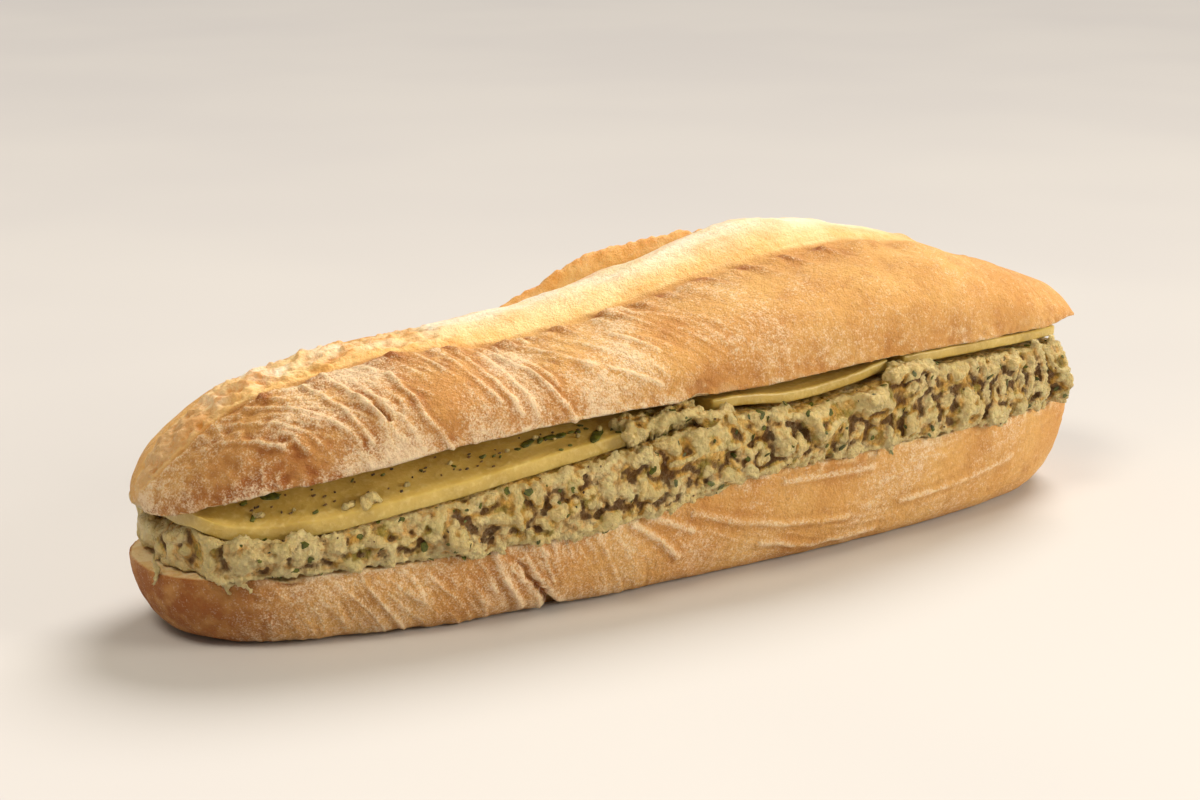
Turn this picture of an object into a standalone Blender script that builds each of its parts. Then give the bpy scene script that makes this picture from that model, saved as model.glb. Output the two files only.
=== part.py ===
"""A submarine sandwich: a small scored roll cut right through along its length, filled with
creamy shredded chicken salad and three slices of cheese.

The roll lies along X with its blunt, low end at -X, the filling spills at -Y (the front), and
the flat crust that was baked on the tray stands on Z = 0.
"""

import math

import bmesh
import bpy
import numpy as np
from mathutils import Matrix, Vector, noise

MM = 0.001

# The roll seen from above: a long superellipse
ROLL_HALF_LENGTH = 110 * MM
ROLL_HALF_WIDTH = 33.6 * MM
PLAN_POWER = 2.45
BOTTOM_RIGHT_TIP = 108.4 * MM
TOP_LEFT_TIP = -109.6 * MM
TOP_RIGHT_TIP = 109.8 * MM

# Air left between foods that touch
GAP = 0.35 * MM

# Heights along the roll, as (X, height) in millimetres
BOTTOM_RIM_FRONT = ((-110, 14.6), (-58, 16.0), (-25, 17.4), (6, 22.0), (30, 22.3), (110, 21.5))
BOTTOM_RIM_BACK = ((-110, 14.6), (0, 19.0), (110, 21.5))
TOP_RIM_FRONT = (
    (-111, 24.5), (-101, 29.4), (-80, 33.6), (-46, 38.0), (0, 39.2), (45, 40.8), (90, 39.6), (111, 37.6),
)
TOP_RIM_BACK = ((-111, 24.5), (-85, 27.2), (0, 30.6), (60, 32.2), (111, 36.8))
CROWN = (
    (-111, 27.0), (-103, 35.6), (-92, 43.6), (-80, 46.6), (-60, 49.2), (-44, 47.6), (-15, 51.6),
    (8, 56.0), (40, 58.8), (52, 58.4), (64, 56.4), (90, 48.4), (101, 44.6), (107, 41.6), (111, 37.8),
)

# The score baked open along the top: the crumb mound that rose through it, and the ear behind it
MOUND = (
    (-111, 0.0), (-106, 0.8), (-97, 0.6), (-88, 0.4), (-75, 0.8), (-60, 0.5), (-44, 4.6), (-25, 4.6),
    (0, 5.4), (22, 7.2), (40, 4.6), (52, 2.6), (66, 0.0), (114, 0.0),
)
EAR = (
    (-111, 0), (-72, 0), (-40, 2.4), (-26, 3.2), (-12, 7.2), (8, 7.6), (24, 6.2), (52, 1.8), (66, 0),
    (114, 0),
)
LIP_HEIGHT = 1.6 * MM
LIP_PITCH = 11.0 * MM
CREASE = (
    (-111, 0.4), (-104, 1.6), (-93, 2.2), (-82, 1.4), (-60, 1.3), (0, 1.4), (40, 1.2), (58, 0.2),
    (66, 0), (114, 0),
)
SCORE_END = 64 * MM

# Shares of the half width at which the parts of the score lie
LIP_AT = -0.40
CREASE_AT = -0.34
GROOVE_AT = 0.30
EAR_AT = ((0.345, 0.55), (0.395, 0.97), (0.43, 0.92), (0.465, 0.45))
ARCH_POWER = 2.3

# The flat foot that stood on the baking tray
FOOT_WIDTH_SHARE = 0.70
FOOT_LENGTH_SHARE = 0.90
CUT_DISH = 1.0 * MM

# Cheese
CHEESE_THICKNESS = 2.8 * MM
CHEESE_FRONT_LOW = (
    (-106, 24.6), (-100, 22.0), (-88, 22.0), (-71, 24.6), (-55, 27.2), (-42, 29.2), (-31, 30.8),
    (-18, 32.8), (-8, 34.8), (0, 35.2), (13, 34.0), (25, 35.0), (40, 37.4), (90, 37.0), (100, 36.0),
)
CHEESE_SLICES = {
    "cheese_slice_left": {"ends": (-105.5, -9.0), "front": 0.975, "back": 0.80, "flakes": 12},
    "cheese_slice_middle": {"ends": (-6.5, 39.0), "front": 0.955, "back": 0.84, "flakes": 0},
    "cheese_slice_right": {"ends": (41.0, 93.5), "front": 0.955, "back": 0.82, "flakes": 0},
}
DROOP_FROM = -0.45

# Filling
FILLING_ENDS = (-108.5, 97.0)
FILLING_OVERHANG = (
    (-110, -1.0), (-100, -0.8), (-66, 0.2), (-40, 1.0), (-10, 1.4), (30, 0.8), (60, 0.4), (85, -0.4),
    (100, -2.0),
)
FILLING_BACK_INSET = 1.2 * MM
FILLING_LUMP = 1.3 * MM
FILLING_LUMP_SIZE = 6.0 * MM
CHUNKS_FRONT = 26
CHUNKS_BACK = 6
BIG_CHUNK_AT = Vector((-97.5, -18.4, 18.4)) * MM
BIG_CHUNK_SIZE = Vector((6.2, 3.0, 4.4)) * MM
# Hollows in the front of the filling: X, share of its height, depth, and reach, in millimetres
HOLLOWS = (
    (-87, 0.45, 2.2, 3.5), (-9, 0.95, 3.5, 4.5), (31, 0.9, 4.0, 5.5), (57, 0.35, 2.2, 4.5),
    (78, 0.4, 2.0, 3.0),
)
SEED = 20

# Mesh density
TOP_STATIONS = 52
BOTTOM_POINTS = 78
FILLING_STATIONS = 52

CRUST = (0.72, 0.47, 0.25, 1)
SALAD = (0.62, 0.58, 0.36, 1)
CHEESE = (0.80, 0.70, 0.36, 1)


def along(profile, x):
    """Smooth cubic through (X, height) pairs given in millimetres, at x in metres."""
    px, pz = np.array(profile, float).T * MM
    slope = np.gradient(pz, px)
    x = np.clip(np.asarray(x, float), px[0], px[-1])
    i = np.clip(np.searchsorted(px, x) - 1, 0, len(px) - 2)
    step = px[i + 1] - px[i]
    t = (x - px[i]) / step
    return (
        (2 * t**3 - 3 * t**2 + 1) * pz[i]
        + (t**3 - 2 * t**2 + t) * step * slope[i]
        + (3 * t**2 - 2 * t**3) * pz[i + 1]
        + (t**3 - t**2) * step * slope[i + 1]
    )


def plan_width(x, left=-ROLL_HALF_LENGTH, right=ROLL_HALF_LENGTH):
    """Half width of the roll at x."""
    share = np.where(x < 0, x / left, x / right)
    return ROLL_HALF_WIDTH * np.clip(1 - np.clip(share, 0, 1) ** PLAN_POWER, 0, 1) ** (1 / PLAN_POWER)


def between_rims(front, back, x, y):
    """Height of the cut from the front rim to the back rim."""
    across = (np.clip(y / ROLL_HALF_WIDTH, -1, 1) + 1) / 2
    return along(front, x) * (1 - across) + along(back, x) * across


def bottom_cut(x, y):
    """The cut face of the bottom half, a little hollow where the filling presses on it."""
    inside = 1 - np.abs(x / ROLL_HALF_LENGTH) ** PLAN_POWER - np.abs(y / ROLL_HALF_WIDTH) ** PLAN_POWER
    return between_rims(BOTTOM_RIM_FRONT, BOTTOM_RIM_BACK, x, y) - CUT_DISH * np.clip(inside, 0, 1)


def top_cut(x, y):
    """The cut face of the top half."""
    return between_rims(TOP_RIM_FRONT, TOP_RIM_BACK, x, y)


def arch(x, y, width):
    """The smooth crust of the top half, from rim to crown to rim."""
    rise = along(CROWN, x) - top_cut(x, 0 * x)
    share = np.clip(np.abs(y) / np.maximum(width, 1e-6), 0, 1)
    return top_cut(x, y) + rise * np.clip(1 - share**ARCH_POWER, 0, 1) ** (1 / ARCH_POWER)


def cheese_low(x, y):
    """Underside of the cheese: pressed to the top half, drooping over the filling at the front."""
    pressed = top_cut(x, y) - GAP - CHEESE_THICKNESS
    width = plan_width(x)
    front = top_cut(x, -0.96 * width) - GAP - CHEESE_THICKNESS
    droop = np.clip(front - along(CHEESE_FRONT_LOW, x), 0, None)
    reach = np.clip((DROOP_FROM - y / np.maximum(width, 1e-6)) / (DROOP_FROM + 0.97), 0, 1.1)
    return pressed - droop * reach**1.3


def mesh_object(name, bm, colour):
    """A node made from a bmesh, shaded smooth, with its own material."""
    bmesh.ops.recalc_face_normals(bm, faces=bm.faces)
    mesh = bpy.data.meshes.new(name)
    bm.to_mesh(mesh)
    bm.free()
    mesh.shade_smooth()
    mesh.set_sharp_from_angle(angle=math.radians(50))
    obj = bpy.data.objects.new(name, mesh)
    obj.data.materials.append(food_material(name, colour))
    return obj


def food_material(name, colour):
    """A matt food surface."""
    material = bpy.data.materials.new(name)
    material.use_nodes = True
    shader = material.node_tree.nodes["Principled BSDF"]
    shader.inputs["Base Color"].default_value = colour
    shader.inputs["Roughness"].default_value = 0.7
    shader.inputs["Metallic"].default_value = 0.0
    return material


def loft(rings, first_tip, last_tip):
    """Skins closed rings of equal length, one after another, and closes both ends on a point."""
    bm = bmesh.new()
    rows = [[bm.verts.new(point) for point in ring] for ring in rings]
    count = len(rows[0])
    for row, following in zip(rows, rows[1:]):
        for i in range(count):
            j = (i + 1) % count
            bm.faces.new((row[i], row[j], following[j], following[i]))
    for tip, row in ((first_tip, rows[0]), (last_tip, rows[-1])):
        end = bm.verts.new(tip)
        for i in range(count):
            bm.faces.new((end, row[i], row[(i + 1) % count]))
    return bm


def stations(first, last, count, end_bias=0.55):
    """Places along the roll, closer together towards its two ends."""
    turn = np.linspace(-1, 1, count + 2)[1:-1]
    spread = (1 - end_bias) * turn + end_bias * np.sin(turn * math.pi / 2)
    return (first + last) / 2 + (last - first) / 2 * spread


def plan_outline(count):
    """Points round the roll seen from above, evenly spaced along the edge."""
    turn = np.linspace(0, 2 * math.pi, 2001)
    bend = 2 / PLAN_POWER
    x = ROLL_HALF_LENGTH * np.sign(np.cos(turn)) * np.abs(np.cos(turn)) ** bend
    y = ROLL_HALF_WIDTH * np.sign(np.sin(turn)) * np.abs(np.sin(turn)) ** bend
    run = np.concatenate([[0], np.cumsum(np.hypot(np.diff(x), np.diff(y)))])
    wanted = np.linspace(0, run[-1], count, endpoint=False)
    return np.interp(wanted, run, x), np.interp(wanted, run, y)


def bread_bottom():
    """The bottom half: flat foot, crust curving out to the rim, cut face on top."""
    x, y = plan_outline(BOTTOM_POINTS)
    x = np.where(x > 0, x * BOTTOM_RIGHT_TIP / ROLL_HALF_LENGTH, x)
    rings = []
    for share in (0.35, 0.70):
        rings.append((x * FOOT_LENGTH_SHARE * share, y * FOOT_WIDTH_SHARE * share, 0 * x))
    for degrees in (0, 10, 26, 44, 62, 78, 90):
        bulge = math.sin(math.radians(degrees))
        length = FOOT_LENGTH_SHARE + (1 - FOOT_LENGTH_SHARE) * bulge
        width = FOOT_WIDTH_SHARE + (1 - FOOT_WIDTH_SHARE) * bulge**0.9
        rim = between_rims(BOTTOM_RIM_FRONT, BOTTOM_RIM_BACK, x * length, y * width)
        rings.append((x * length, y * width, rim * (1 - math.cos(math.radians(degrees)))))
    for share in (0.93, 0.74, 0.55, 0.36, 0.18):
        rings.append((x * share, y * share, bottom_cut(x * share, y * share)))
    rings = [np.stack(ring, -1) for ring in rings]
    middle = float(bottom_cut(np.array(0.0), np.array(0.0)))
    bm = loft(rings, (0, 0, 0), (0, 0, middle))
    return mesh_object("bread_bottom", bm, CRUST)


CRACK_FOOT = Vector((-37.5, -22.0, 0)) * MM
CRACK_WIDTH = 3.0 * MM
CRACK_HEIGHT = 5.5 * MM


def crack_cutter():
    """A leaning wedge where the bottom crust split and lifted off the tray."""
    bpy.ops.mesh.primitive_cone_add(
        vertices=4, radius1=CRACK_WIDTH, radius2=0, depth=2 * CRACK_HEIGHT, location=CRACK_FOOT
    )
    wedge = bpy.context.object
    wedge.name = "crack_cutter"
    wedge.rotation_euler = (math.radians(-28), math.radians(-22), 0)
    wedge.hide_render = True
    wedge.display_type = "WIRE"
    link(wedge, "cutters")
    return wedge


def lip_scallops(x):
    """Share of the full height of the front lip, bump after bump, fading where the score closes."""
    scallop = 0.6 + 0.4 * np.sin(2 * math.pi * x / LIP_PITCH + 1.2 * np.sin(x / (17 * MM)))
    return scallop * np.clip((SCORE_END - x) / (12 * MM), 0, 1) * np.clip((x + 109 * MM) / (8 * MM), 0, 1)


def top_section(x):
    """Points round the top half at each station x: (Y, Z) from the front rim over the crown to the
    back rim, and back along the cut face."""
    width = plan_width(x, TOP_LEFT_TIP, TOP_RIGHT_TIP)
    scallop = lip_scallops(x)
    mound = along(MOUND, x)
    ear = along(EAR, x)
    shares = []
    rises = []
    for turn in np.radians((0, 9, 18, 27, 36, 46, 56, 64)):
        shares.append(-(math.cos(turn) ** (2 / ARCH_POWER)))
        rises.append(0 * x)
    shares += [LIP_AT, CREASE_AT]
    rises += [LIP_HEIGHT * scallop, -along(CREASE, x)]
    for step in np.linspace(0.1, 0.9, 6):
        shares.append(CREASE_AT + (GROOVE_AT - CREASE_AT) * step)
        rises.append(mound * math.sin(math.pi * step) ** 0.6)
    shares.append(GROOVE_AT)
    rises.append(-0.08 * ear)
    for share, rise in EAR_AT:
        shares.append(share)
        rises.append(rise * ear)
    for turn in np.radians((58, 48, 37, 27, 18, 9, 0)):
        shares.append(math.cos(turn) ** (2 / ARCH_POWER))
        rises.append(0 * x)
    points = []
    for share, rise in zip(shares, rises):
        y = share * width
        points.append((y, arch(x, y, width) + rise))
    for share in (0.88, 0.55, 0.2, -0.2, -0.55, -0.88):
        points.append((share * width, top_cut(x, share * width)))
    return points


def bread_top():
    """The top half, lofted from section to section between its two tips."""
    x = stations(TOP_LEFT_TIP, TOP_RIGHT_TIP, TOP_STATIONS)
    section = top_section(x)
    rings = [[(x[i], y[i], z[i]) for y, z in section] for i in range(len(x))]
    tips = [
        (tip, 0, float((top_cut(np.array(tip), np.array(0.0)) + along(CROWN, tip)) / 2))
        for tip in (TOP_LEFT_TIP, TOP_RIGHT_TIP)
    ]
    return mesh_object("bread_top", loft(rings, *tips), CRUST)


def cheese_slice(name, ends, front, back, flakes):
    """A slice laid between filling and roll: a grid draped on its place, then thickened upwards."""
    first, last = ends[0] * MM, ends[1] * MM
    bm = bmesh.new()
    rows = max(8, int((last - first) / (7.5 * MM)))
    bmesh.ops.create_grid(bm, x_segments=rows, y_segments=8, size=1)
    for vert in bm.verts:
        u, v = vert.co.x, vert.co.y
        corner = 1 - 0.045 * abs(v) ** 5
        x = (first + last) / 2 + (last - first) / 2 * u * corner
        width = float(plan_width(np.array(x)))
        y = width * (v * (front + back) / 2 + (back - front) / 2)
        vert.co = (x, y, float(cheese_low(np.array(x), np.array(y))))
    low = list(bm.faces)
    raised = bmesh.ops.extrude_face_region(bm, geom=low)["geom"]
    bmesh.ops.translate(
        bm,
        verts=[part for part in raised if isinstance(part, bmesh.types.BMVert)],
        vec=(0, 0, CHEESE_THICKNESS),
    )
    slab = mesh_object(name, bm, CHEESE)
    link(slab, "submarine sandwich")
    if flakes:
        fuse(slab, herb_flakes(name, first, last, front, flakes))


def herb_flakes(name, first, last, front, count):
    """Thin herb and pepper flakes lying in the strip of cheese that shows below the roll."""
    draw = np.random.default_rng(SEED + len(name))
    flakes = []
    for i in range(count):
        x = first + (last - first) * (0.08 + 0.84 * (i + draw.uniform(0, 0.8)) / count)
        width = float(plan_width(np.array(x)))
        y = -width * draw.uniform(front - 0.34, front - 0.16)
        size = draw.uniform(0.7, 1.5) * MM
        z = float(cheese_low(np.array(x), np.array(y))) + CHEESE_THICKNESS
        bpy.ops.mesh.primitive_ico_sphere_add(subdivisions=1, radius=1)
        flake = bpy.context.object
        flake.name = f"{name}_flake_{i}"
        flake.data.transform(Matrix.Diagonal((1.5 * size, 0.7 * size, 0.42 * MM, 1)))
        flake.data.transform(Matrix.Rotation(draw.uniform(0, math.pi), 4, "Z"))
        flake.data.transform(Matrix.Rotation(math.radians(24), 4, "X"))
        flake.location = (x, y, z)
        flakes.append(flake)
    return flakes


def filling_sides(x):
    """Front and back reach of the filling at x."""
    width = plan_width(x)
    return -(width + along(FILLING_OVERHANG, x)), width - FILLING_BACK_INSET


def filling_top(x, y):
    """Highest the filling reaches, a little clear of the cheese."""
    return cheese_low(x, y) - 1.6 * GAP


def filling_floor(x, y):
    """Lowest the filling reaches, on the cut face of the bottom half."""
    return bottom_cut(x, y) + GAP


def hollow_depth(x, step):
    """How far the front of the filling is sunk at x and this share of its height."""
    depth = 0
    for centre, share, deep, reach in HOLLOWS:
        far = ((x / MM - centre) / reach) ** 2 + ((step - share) / 0.28) ** 2
        depth += deep * MM * math.exp(-far)
    return depth


def filling_core():
    """The mass of the salad: a loft with lumpy front, back and ends."""
    x = stations(FILLING_ENDS[0] * MM, FILLING_ENDS[1] * MM, FILLING_STATIONS, 0.35)
    rings = []
    for place in x:
        place = np.array(place)
        front, back = filling_sides(place)
        ring = []
        for side, steps in ((front, (0, 0.18, 0.4, 0.62, 0.84, 1)), (back, (1, 0.7, 0.35, 0))):
            for step in steps:
                bulge = math.sin(math.pi * (0.06 + 0.88 * step)) ** 0.7
                y = side * (0.93 + 0.07 * bulge)
                spot = Vector((place, y, 30 * MM * step)) / FILLING_LUMP_SIZE
                lump = noise.noise(spot) * FILLING_LUMP * 1.6 * bulge
                if side < 0:
                    lump -= hollow_depth(float(place), step)
                y = y + math.copysign(1, side) * lump
                low, high = filling_floor(place, y), filling_top(place, y)
                ring.append((place, y, float(low + (high - low) * step)))
            if steps[0] == 0:
                for share in (0.8, 0.5, 0.1, -0.3, -0.65):
                    y = front * max(share, 0) + back * max(-share, 0)
                    ring.append((place, y, float(filling_top(place, np.array(y)))))
        for share in (-0.6, -0.2, 0.3, 0.7):
            y = front * max(share, 0) + back * max(-share, 0)
            ring.append((place, y, float(filling_floor(place, np.array(y)))))
        rings.append(ring)
    tips = []
    for tip in FILLING_ENDS:
        tip = np.array(tip * MM)
        tips.append((tip, 0, float(filling_floor(tip, 0 * tip) + filling_top(tip, 0 * tip)) / 2))
    return mesh_object("filling", loft(rings, *tips), SALAD)


def chunk(name, place, size, draw):
    """A torn lump of chicken: a ball pushed out of round, pressed flat on the bread and the cheese."""
    bpy.ops.mesh.primitive_ico_sphere_add(subdivisions=2, radius=1)
    lump = bpy.context.object
    lump.name = name
    shift = Vector(draw.uniform(0, 50, 3))
    for vert in lump.data.vertices:
        swell = 1 + 0.42 * noise.noise(vert.co * 1.4 + shift)
        x, y, z = Vector(place) + Vector(size) * vert.co * swell
        low = float(filling_floor(np.array(x), np.array(y)))
        high = float(filling_top(np.array(x), np.array(y)))
        vert.co = (x, y, min(max(z, low), high))
    return lump


def salad_chunks():
    """Chunks set along the front and the back, each sized to the room between the halves."""
    draw = np.random.default_rng(SEED)
    first, last = FILLING_ENDS[0] * MM, FILLING_ENDS[1] * MM
    chunks = [chunk("chunk_large", BIG_CHUNK_AT, BIG_CHUNK_SIZE, draw)]
    for side, count in ((0, CHUNKS_FRONT), (1, CHUNKS_BACK)):
        for i in range(count):
            x = np.array(first + (last - first) * (0.075 + 0.89 * (i + draw.uniform(0.15, 0.85)) / count))
            edge = filling_sides(x)[side]
            low = float(filling_floor(x, edge))
            room = float(filling_top(x, edge * 0.9)) - low
            share = draw.uniform(0.22, 0.78)
            if side == 0:
                edge = edge + 0.8 * hollow_depth(float(x), share)
            height = min(room * 0.36, draw.uniform(2.4, 4.4) * MM)
            size = (draw.uniform(2.6, 5.0) * MM, draw.uniform(2.4, 3.4) * MM, height)
            place = (x, edge * draw.uniform(0.975, 1.005), low + room * share)
            chunks.append(chunk(f"chunk_{side}_{i}", place, size, draw))
    return chunks


# Shreds of chicken that hang out: points in millimetres along each, and its thickness
SHREDS = (
    (((-100, -13, 19.4), (-101.6, -17.8, 17.8), (-101.2, -18.6, 14.5), (-99.2, -20.0, 12.2)), 1.7),
    (((-98.5, -15, 19.4), (-98.4, -19.8, 17.6), (-98.2, -20.7, 14.2)), 1.5),
    (((-105, -5, 19.0), (-109.9, -7.6, 16.8), (-110.5, -8.3, 13.4), (-109.5, -9.6, 10.8)), 1.3),
    (((68, -22, 33.5), (69, -29.3, 33), (69.3, -30.3, 29), (69.2, -30.2, 25)), 2.1),
    (((62, -24, 33.5), (63.8, -30.2, 32.5), (64.6, -31.4, 30), (65, -31.2, 26.5)), 1.9),
)


def shred(name, route, thickness):
    """A strand: a low-sided tapering tube, made a closed mesh."""
    curve = bpy.data.curves.new(name, "CURVE")
    curve.dimensions = "3D"
    curve.bevel_depth = thickness * MM / 2
    curve.bevel_resolution = 1
    curve.use_fill_caps = True
    spline = curve.splines.new("POLY")
    spline.points.add(len(route) - 1)
    for point, place in zip(spline.points, route):
        point.co = (*(c * MM for c in place), 1)
    spline.points[-1].radius = 0.6
    tube = bpy.data.objects.new(name + "_curve", curve)
    bpy.context.scene.collection.objects.link(tube)
    bpy.context.view_layer.update()
    mesh = bpy.data.meshes.new_from_object(tube.evaluated_get(bpy.context.evaluated_depsgraph_get()))
    bm = bmesh.new()
    bm.from_mesh(mesh)
    bmesh.ops.remove_doubles(bm, verts=bm.verts, dist=0.01 * MM)
    bm.to_mesh(mesh)
    bm.free()
    strand = bpy.data.objects.new(name, mesh)
    strand.matrix_world = tube.matrix_world
    bpy.context.scene.collection.objects.link(strand)
    bpy.data.objects.remove(tube)
    return strand


def link(obj, collection_name):
    """Puts the object in the named collection alone."""
    collection = bpy.data.collections.get(collection_name)
    if collection is None:
        collection = bpy.data.collections.new(collection_name)
        bpy.context.scene.collection.children.link(collection)
    for holder in list(obj.users_collection):
        holder.objects.unlink(obj)
    collection.objects.link(obj)


def fuse(core, pieces):
    """Joins the pieces to the core with one Boolean union, then removes them."""
    for piece in pieces:
        piece.data.materials.append(core.data.materials[0])
        link(piece, core.name + "_pieces")
    bunch = bpy.data.collections[core.name + "_pieces"]
    union = core.modifiers.new("fuse", "BOOLEAN")
    union.operation = "UNION"
    union.operand_type = "COLLECTION"
    union.collection = bunch
    union.solver = "EXACT"
    bpy.context.view_layer.update()
    graph = bpy.context.evaluated_depsgraph_get()
    joined = bpy.data.meshes.new_from_object(core.evaluated_get(graph))
    joined.set_sharp_from_angle(angle=math.radians(40))
    core.modifiers.remove(union)
    core.data = joined
    for piece in pieces:
        bpy.data.objects.remove(piece)
    bpy.data.collections.remove(bunch)


def main():
    for obj in list(bpy.data.objects):
        bpy.data.objects.remove(obj, do_unlink=True)
    bottom = bread_bottom()
    link(bottom, "submarine sandwich")
    cut = bottom.modifiers.new("crack", "BOOLEAN")
    cut.operation = "DIFFERENCE"
    cut.object = crack_cutter()
    link(bread_top(), "submarine sandwich")
    for name, shape in CHEESE_SLICES.items():
        cheese_slice(name, **shape)
    filling = filling_core()
    link(filling, "submarine sandwich")
    strands = [shred(f"shred_{i}", *shape) for i, shape in enumerate(SHREDS)]
    fuse(filling, salad_chunks() + strands)


main()
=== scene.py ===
import math

import bmesh
import bpy
import numpy as np
from mathutils import Matrix, Vector, kdtree, noise


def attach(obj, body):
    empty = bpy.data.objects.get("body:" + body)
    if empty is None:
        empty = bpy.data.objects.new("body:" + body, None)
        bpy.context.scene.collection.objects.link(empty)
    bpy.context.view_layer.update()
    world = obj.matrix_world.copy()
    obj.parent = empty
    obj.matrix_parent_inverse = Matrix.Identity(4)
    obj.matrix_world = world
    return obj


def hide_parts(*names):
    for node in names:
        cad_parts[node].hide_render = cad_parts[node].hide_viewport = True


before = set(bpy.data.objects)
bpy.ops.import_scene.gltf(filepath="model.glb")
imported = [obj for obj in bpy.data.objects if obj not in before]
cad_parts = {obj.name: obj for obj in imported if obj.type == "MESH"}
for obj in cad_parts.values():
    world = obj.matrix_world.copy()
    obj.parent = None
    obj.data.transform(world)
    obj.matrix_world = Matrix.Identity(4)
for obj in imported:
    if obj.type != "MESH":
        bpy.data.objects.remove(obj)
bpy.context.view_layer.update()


# BOTTOM HALF OF THE ROLL
# Wheat dough proved on a floured cloth and baked on a tray: a flat foot, a thin crust creased in
# long folds, and pale crumb on the face where the roll was cut right through along its length.

MM = 0.001
GAP = 0.35 * MM
HALF_LENGTH = 110 * MM
HALF_WIDTH = 33.6 * MM
PLAN_POWER = 2.45
BOTTOM_RIGHT_TIP = 108.4 * MM
BOTTOM_RIM_FRONT = ((-110, 14.6), (-58, 16.0), (-25, 17.4), (6, 22.0), (30, 22.3), (110, 21.5))
BOTTOM_RIM_BACK = ((-110, 14.6), (0, 19.0), (110, 21.5))
FOOT_WIDTH_SHARE = 0.70
FOOT_LENGTH_SHARE = 0.90
CUT_DISH = 1.0 * MM


def along(profile, x):
    """Smooth cubic through (X, height) pairs given in millimetres, at x in metres."""
    px, pz = np.array(profile, float).T * MM
    slope = np.gradient(pz, px)
    x = np.clip(np.asarray(x, float), px[0], px[-1])
    i = np.clip(np.searchsorted(px, x) - 1, 0, len(px) - 2)
    step = px[i + 1] - px[i]
    t = (x - px[i]) / step
    return (
        (2 * t**3 - 3 * t**2 + 1) * pz[i]
        + (t**3 - 2 * t**2 + t) * step * slope[i]
        + (3 * t**2 - 2 * t**3) * pz[i + 1]
        + (t**3 - t**2) * step * slope[i + 1]
    )


def plan_width(x, left=-HALF_LENGTH, right=HALF_LENGTH):
    """Half width of the roll at x."""
    share = np.where(x < 0, x / left, x / right)
    return HALF_WIDTH * np.clip(1 - np.clip(share, 0, 1) ** PLAN_POWER, 0, 1) ** (1 / PLAN_POWER)


def between_rims(front, back, x, y):
    """Height of the cut from the front rim to the back rim."""
    across = (np.clip(y / HALF_WIDTH, -1, 1) + 1) / 2
    return along(front, x) * (1 - across) + along(back, x) * across


def bottom_cut(x, y):
    """The cut face of the bottom half, a little hollow where the filling presses on it."""
    inside = 1 - np.abs(x / HALF_LENGTH) ** PLAN_POWER - np.abs(y / HALF_WIDTH) ** PLAN_POWER
    return between_rims(BOTTOM_RIM_FRONT, BOTTOM_RIM_BACK, x, y) - CUT_DISH * np.clip(inside, 0, 1)


def grain(points, size, seed=0):
    """Noise from -1 to 1 at each point, in lumps of about this size."""
    spots = np.asarray(points) / size + np.array((7.31, 3.17, 11.73)) * (seed + 1)
    return np.array([noise.noise(Vector(spot)) for spot in spots.tolist()])


def folds(across, run, spacing, length, seed, thin=5):
    """Thin raised folds of skin: 1 on a fold and 0 between, long along the run."""
    spots = np.stack([across / spacing, run / length, 0 * across], -1)
    return (1 - np.abs(np.clip(1.7 * grain(spots, 1, seed), -1, 1))) ** thin


def near_line(across, up, points, reach):
    """1 on a line through the points, given in millimetres, falling to 0 over the reach."""
    spots = np.array(points) * MM
    nearest = np.full(across.shape, 1.0)
    for (ax, az), (bx, bz) in zip(spots[:-1], spots[1:]):
        share = ((across - ax) * (bx - ax) + (up - az) * (bz - az)) / ((bx - ax) ** 2 + (bz - az) ** 2)
        share = np.clip(share, 0, 1)
        gone = np.hypot(across - ax - share * (bx - ax), up - az - share * (bz - az))
        nearest = np.minimum(nearest, gone)
    return np.exp(-((nearest / reach) ** 2))


def evened(values, rounds):
    """The values after each has moved to the mean of its neighbours, several times over."""
    for turn_round in range(rounds):
        values = (np.roll(values, 1, 1) + np.roll(values, -1, 1) + 2 * values) / 4
        padded = np.vstack([values[:1], values, values[-1:]])
        values = (padded[:-2] + padded[2:] + 2 * values) / 4
    return values


def bump(x, centre, reach):
    """A soft bump from 0 to 1 round the centre."""
    return np.exp(-(((x - centre) / reach) ** 2))


def step(x, start, end):
    """A smooth step from 0 at start to 1 at end."""
    t = np.clip((x - start) / (end - start), 0, 1)
    return t * t * (3 - 2 * t)


def surface_normals(rings):
    """Outward normals of points laid in closed rings."""
    around = np.roll(rings, -1, 1) - np.roll(rings, 1, 1)
    onward = np.gradient(rings, axis=0)
    normal = np.cross(around, onward)
    return normal / np.maximum(np.linalg.norm(normal, axis=-1, keepdims=True), 1e-12)


def in_scene(name, data):
    """A new object in the scene that shows this mesh, light or camera."""
    thing = bpy.data.objects.new(name, data)
    bpy.context.scene.collection.objects.link(thing)
    return thing


def new_mesh(name, points, faces):
    """A mesh with these points and faces."""
    mesh = bpy.data.meshes.new(name)
    mesh.from_pydata(points.tolist(), [], faces)
    return mesh


def store_mask(mesh, name, values):
    """Stores one value per point on the mesh, where its material reads it."""
    layer = mesh.attributes.new(name, "FLOAT", "POINT")
    layer.data.foreach_set("value", values.astype(np.float32))


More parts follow.
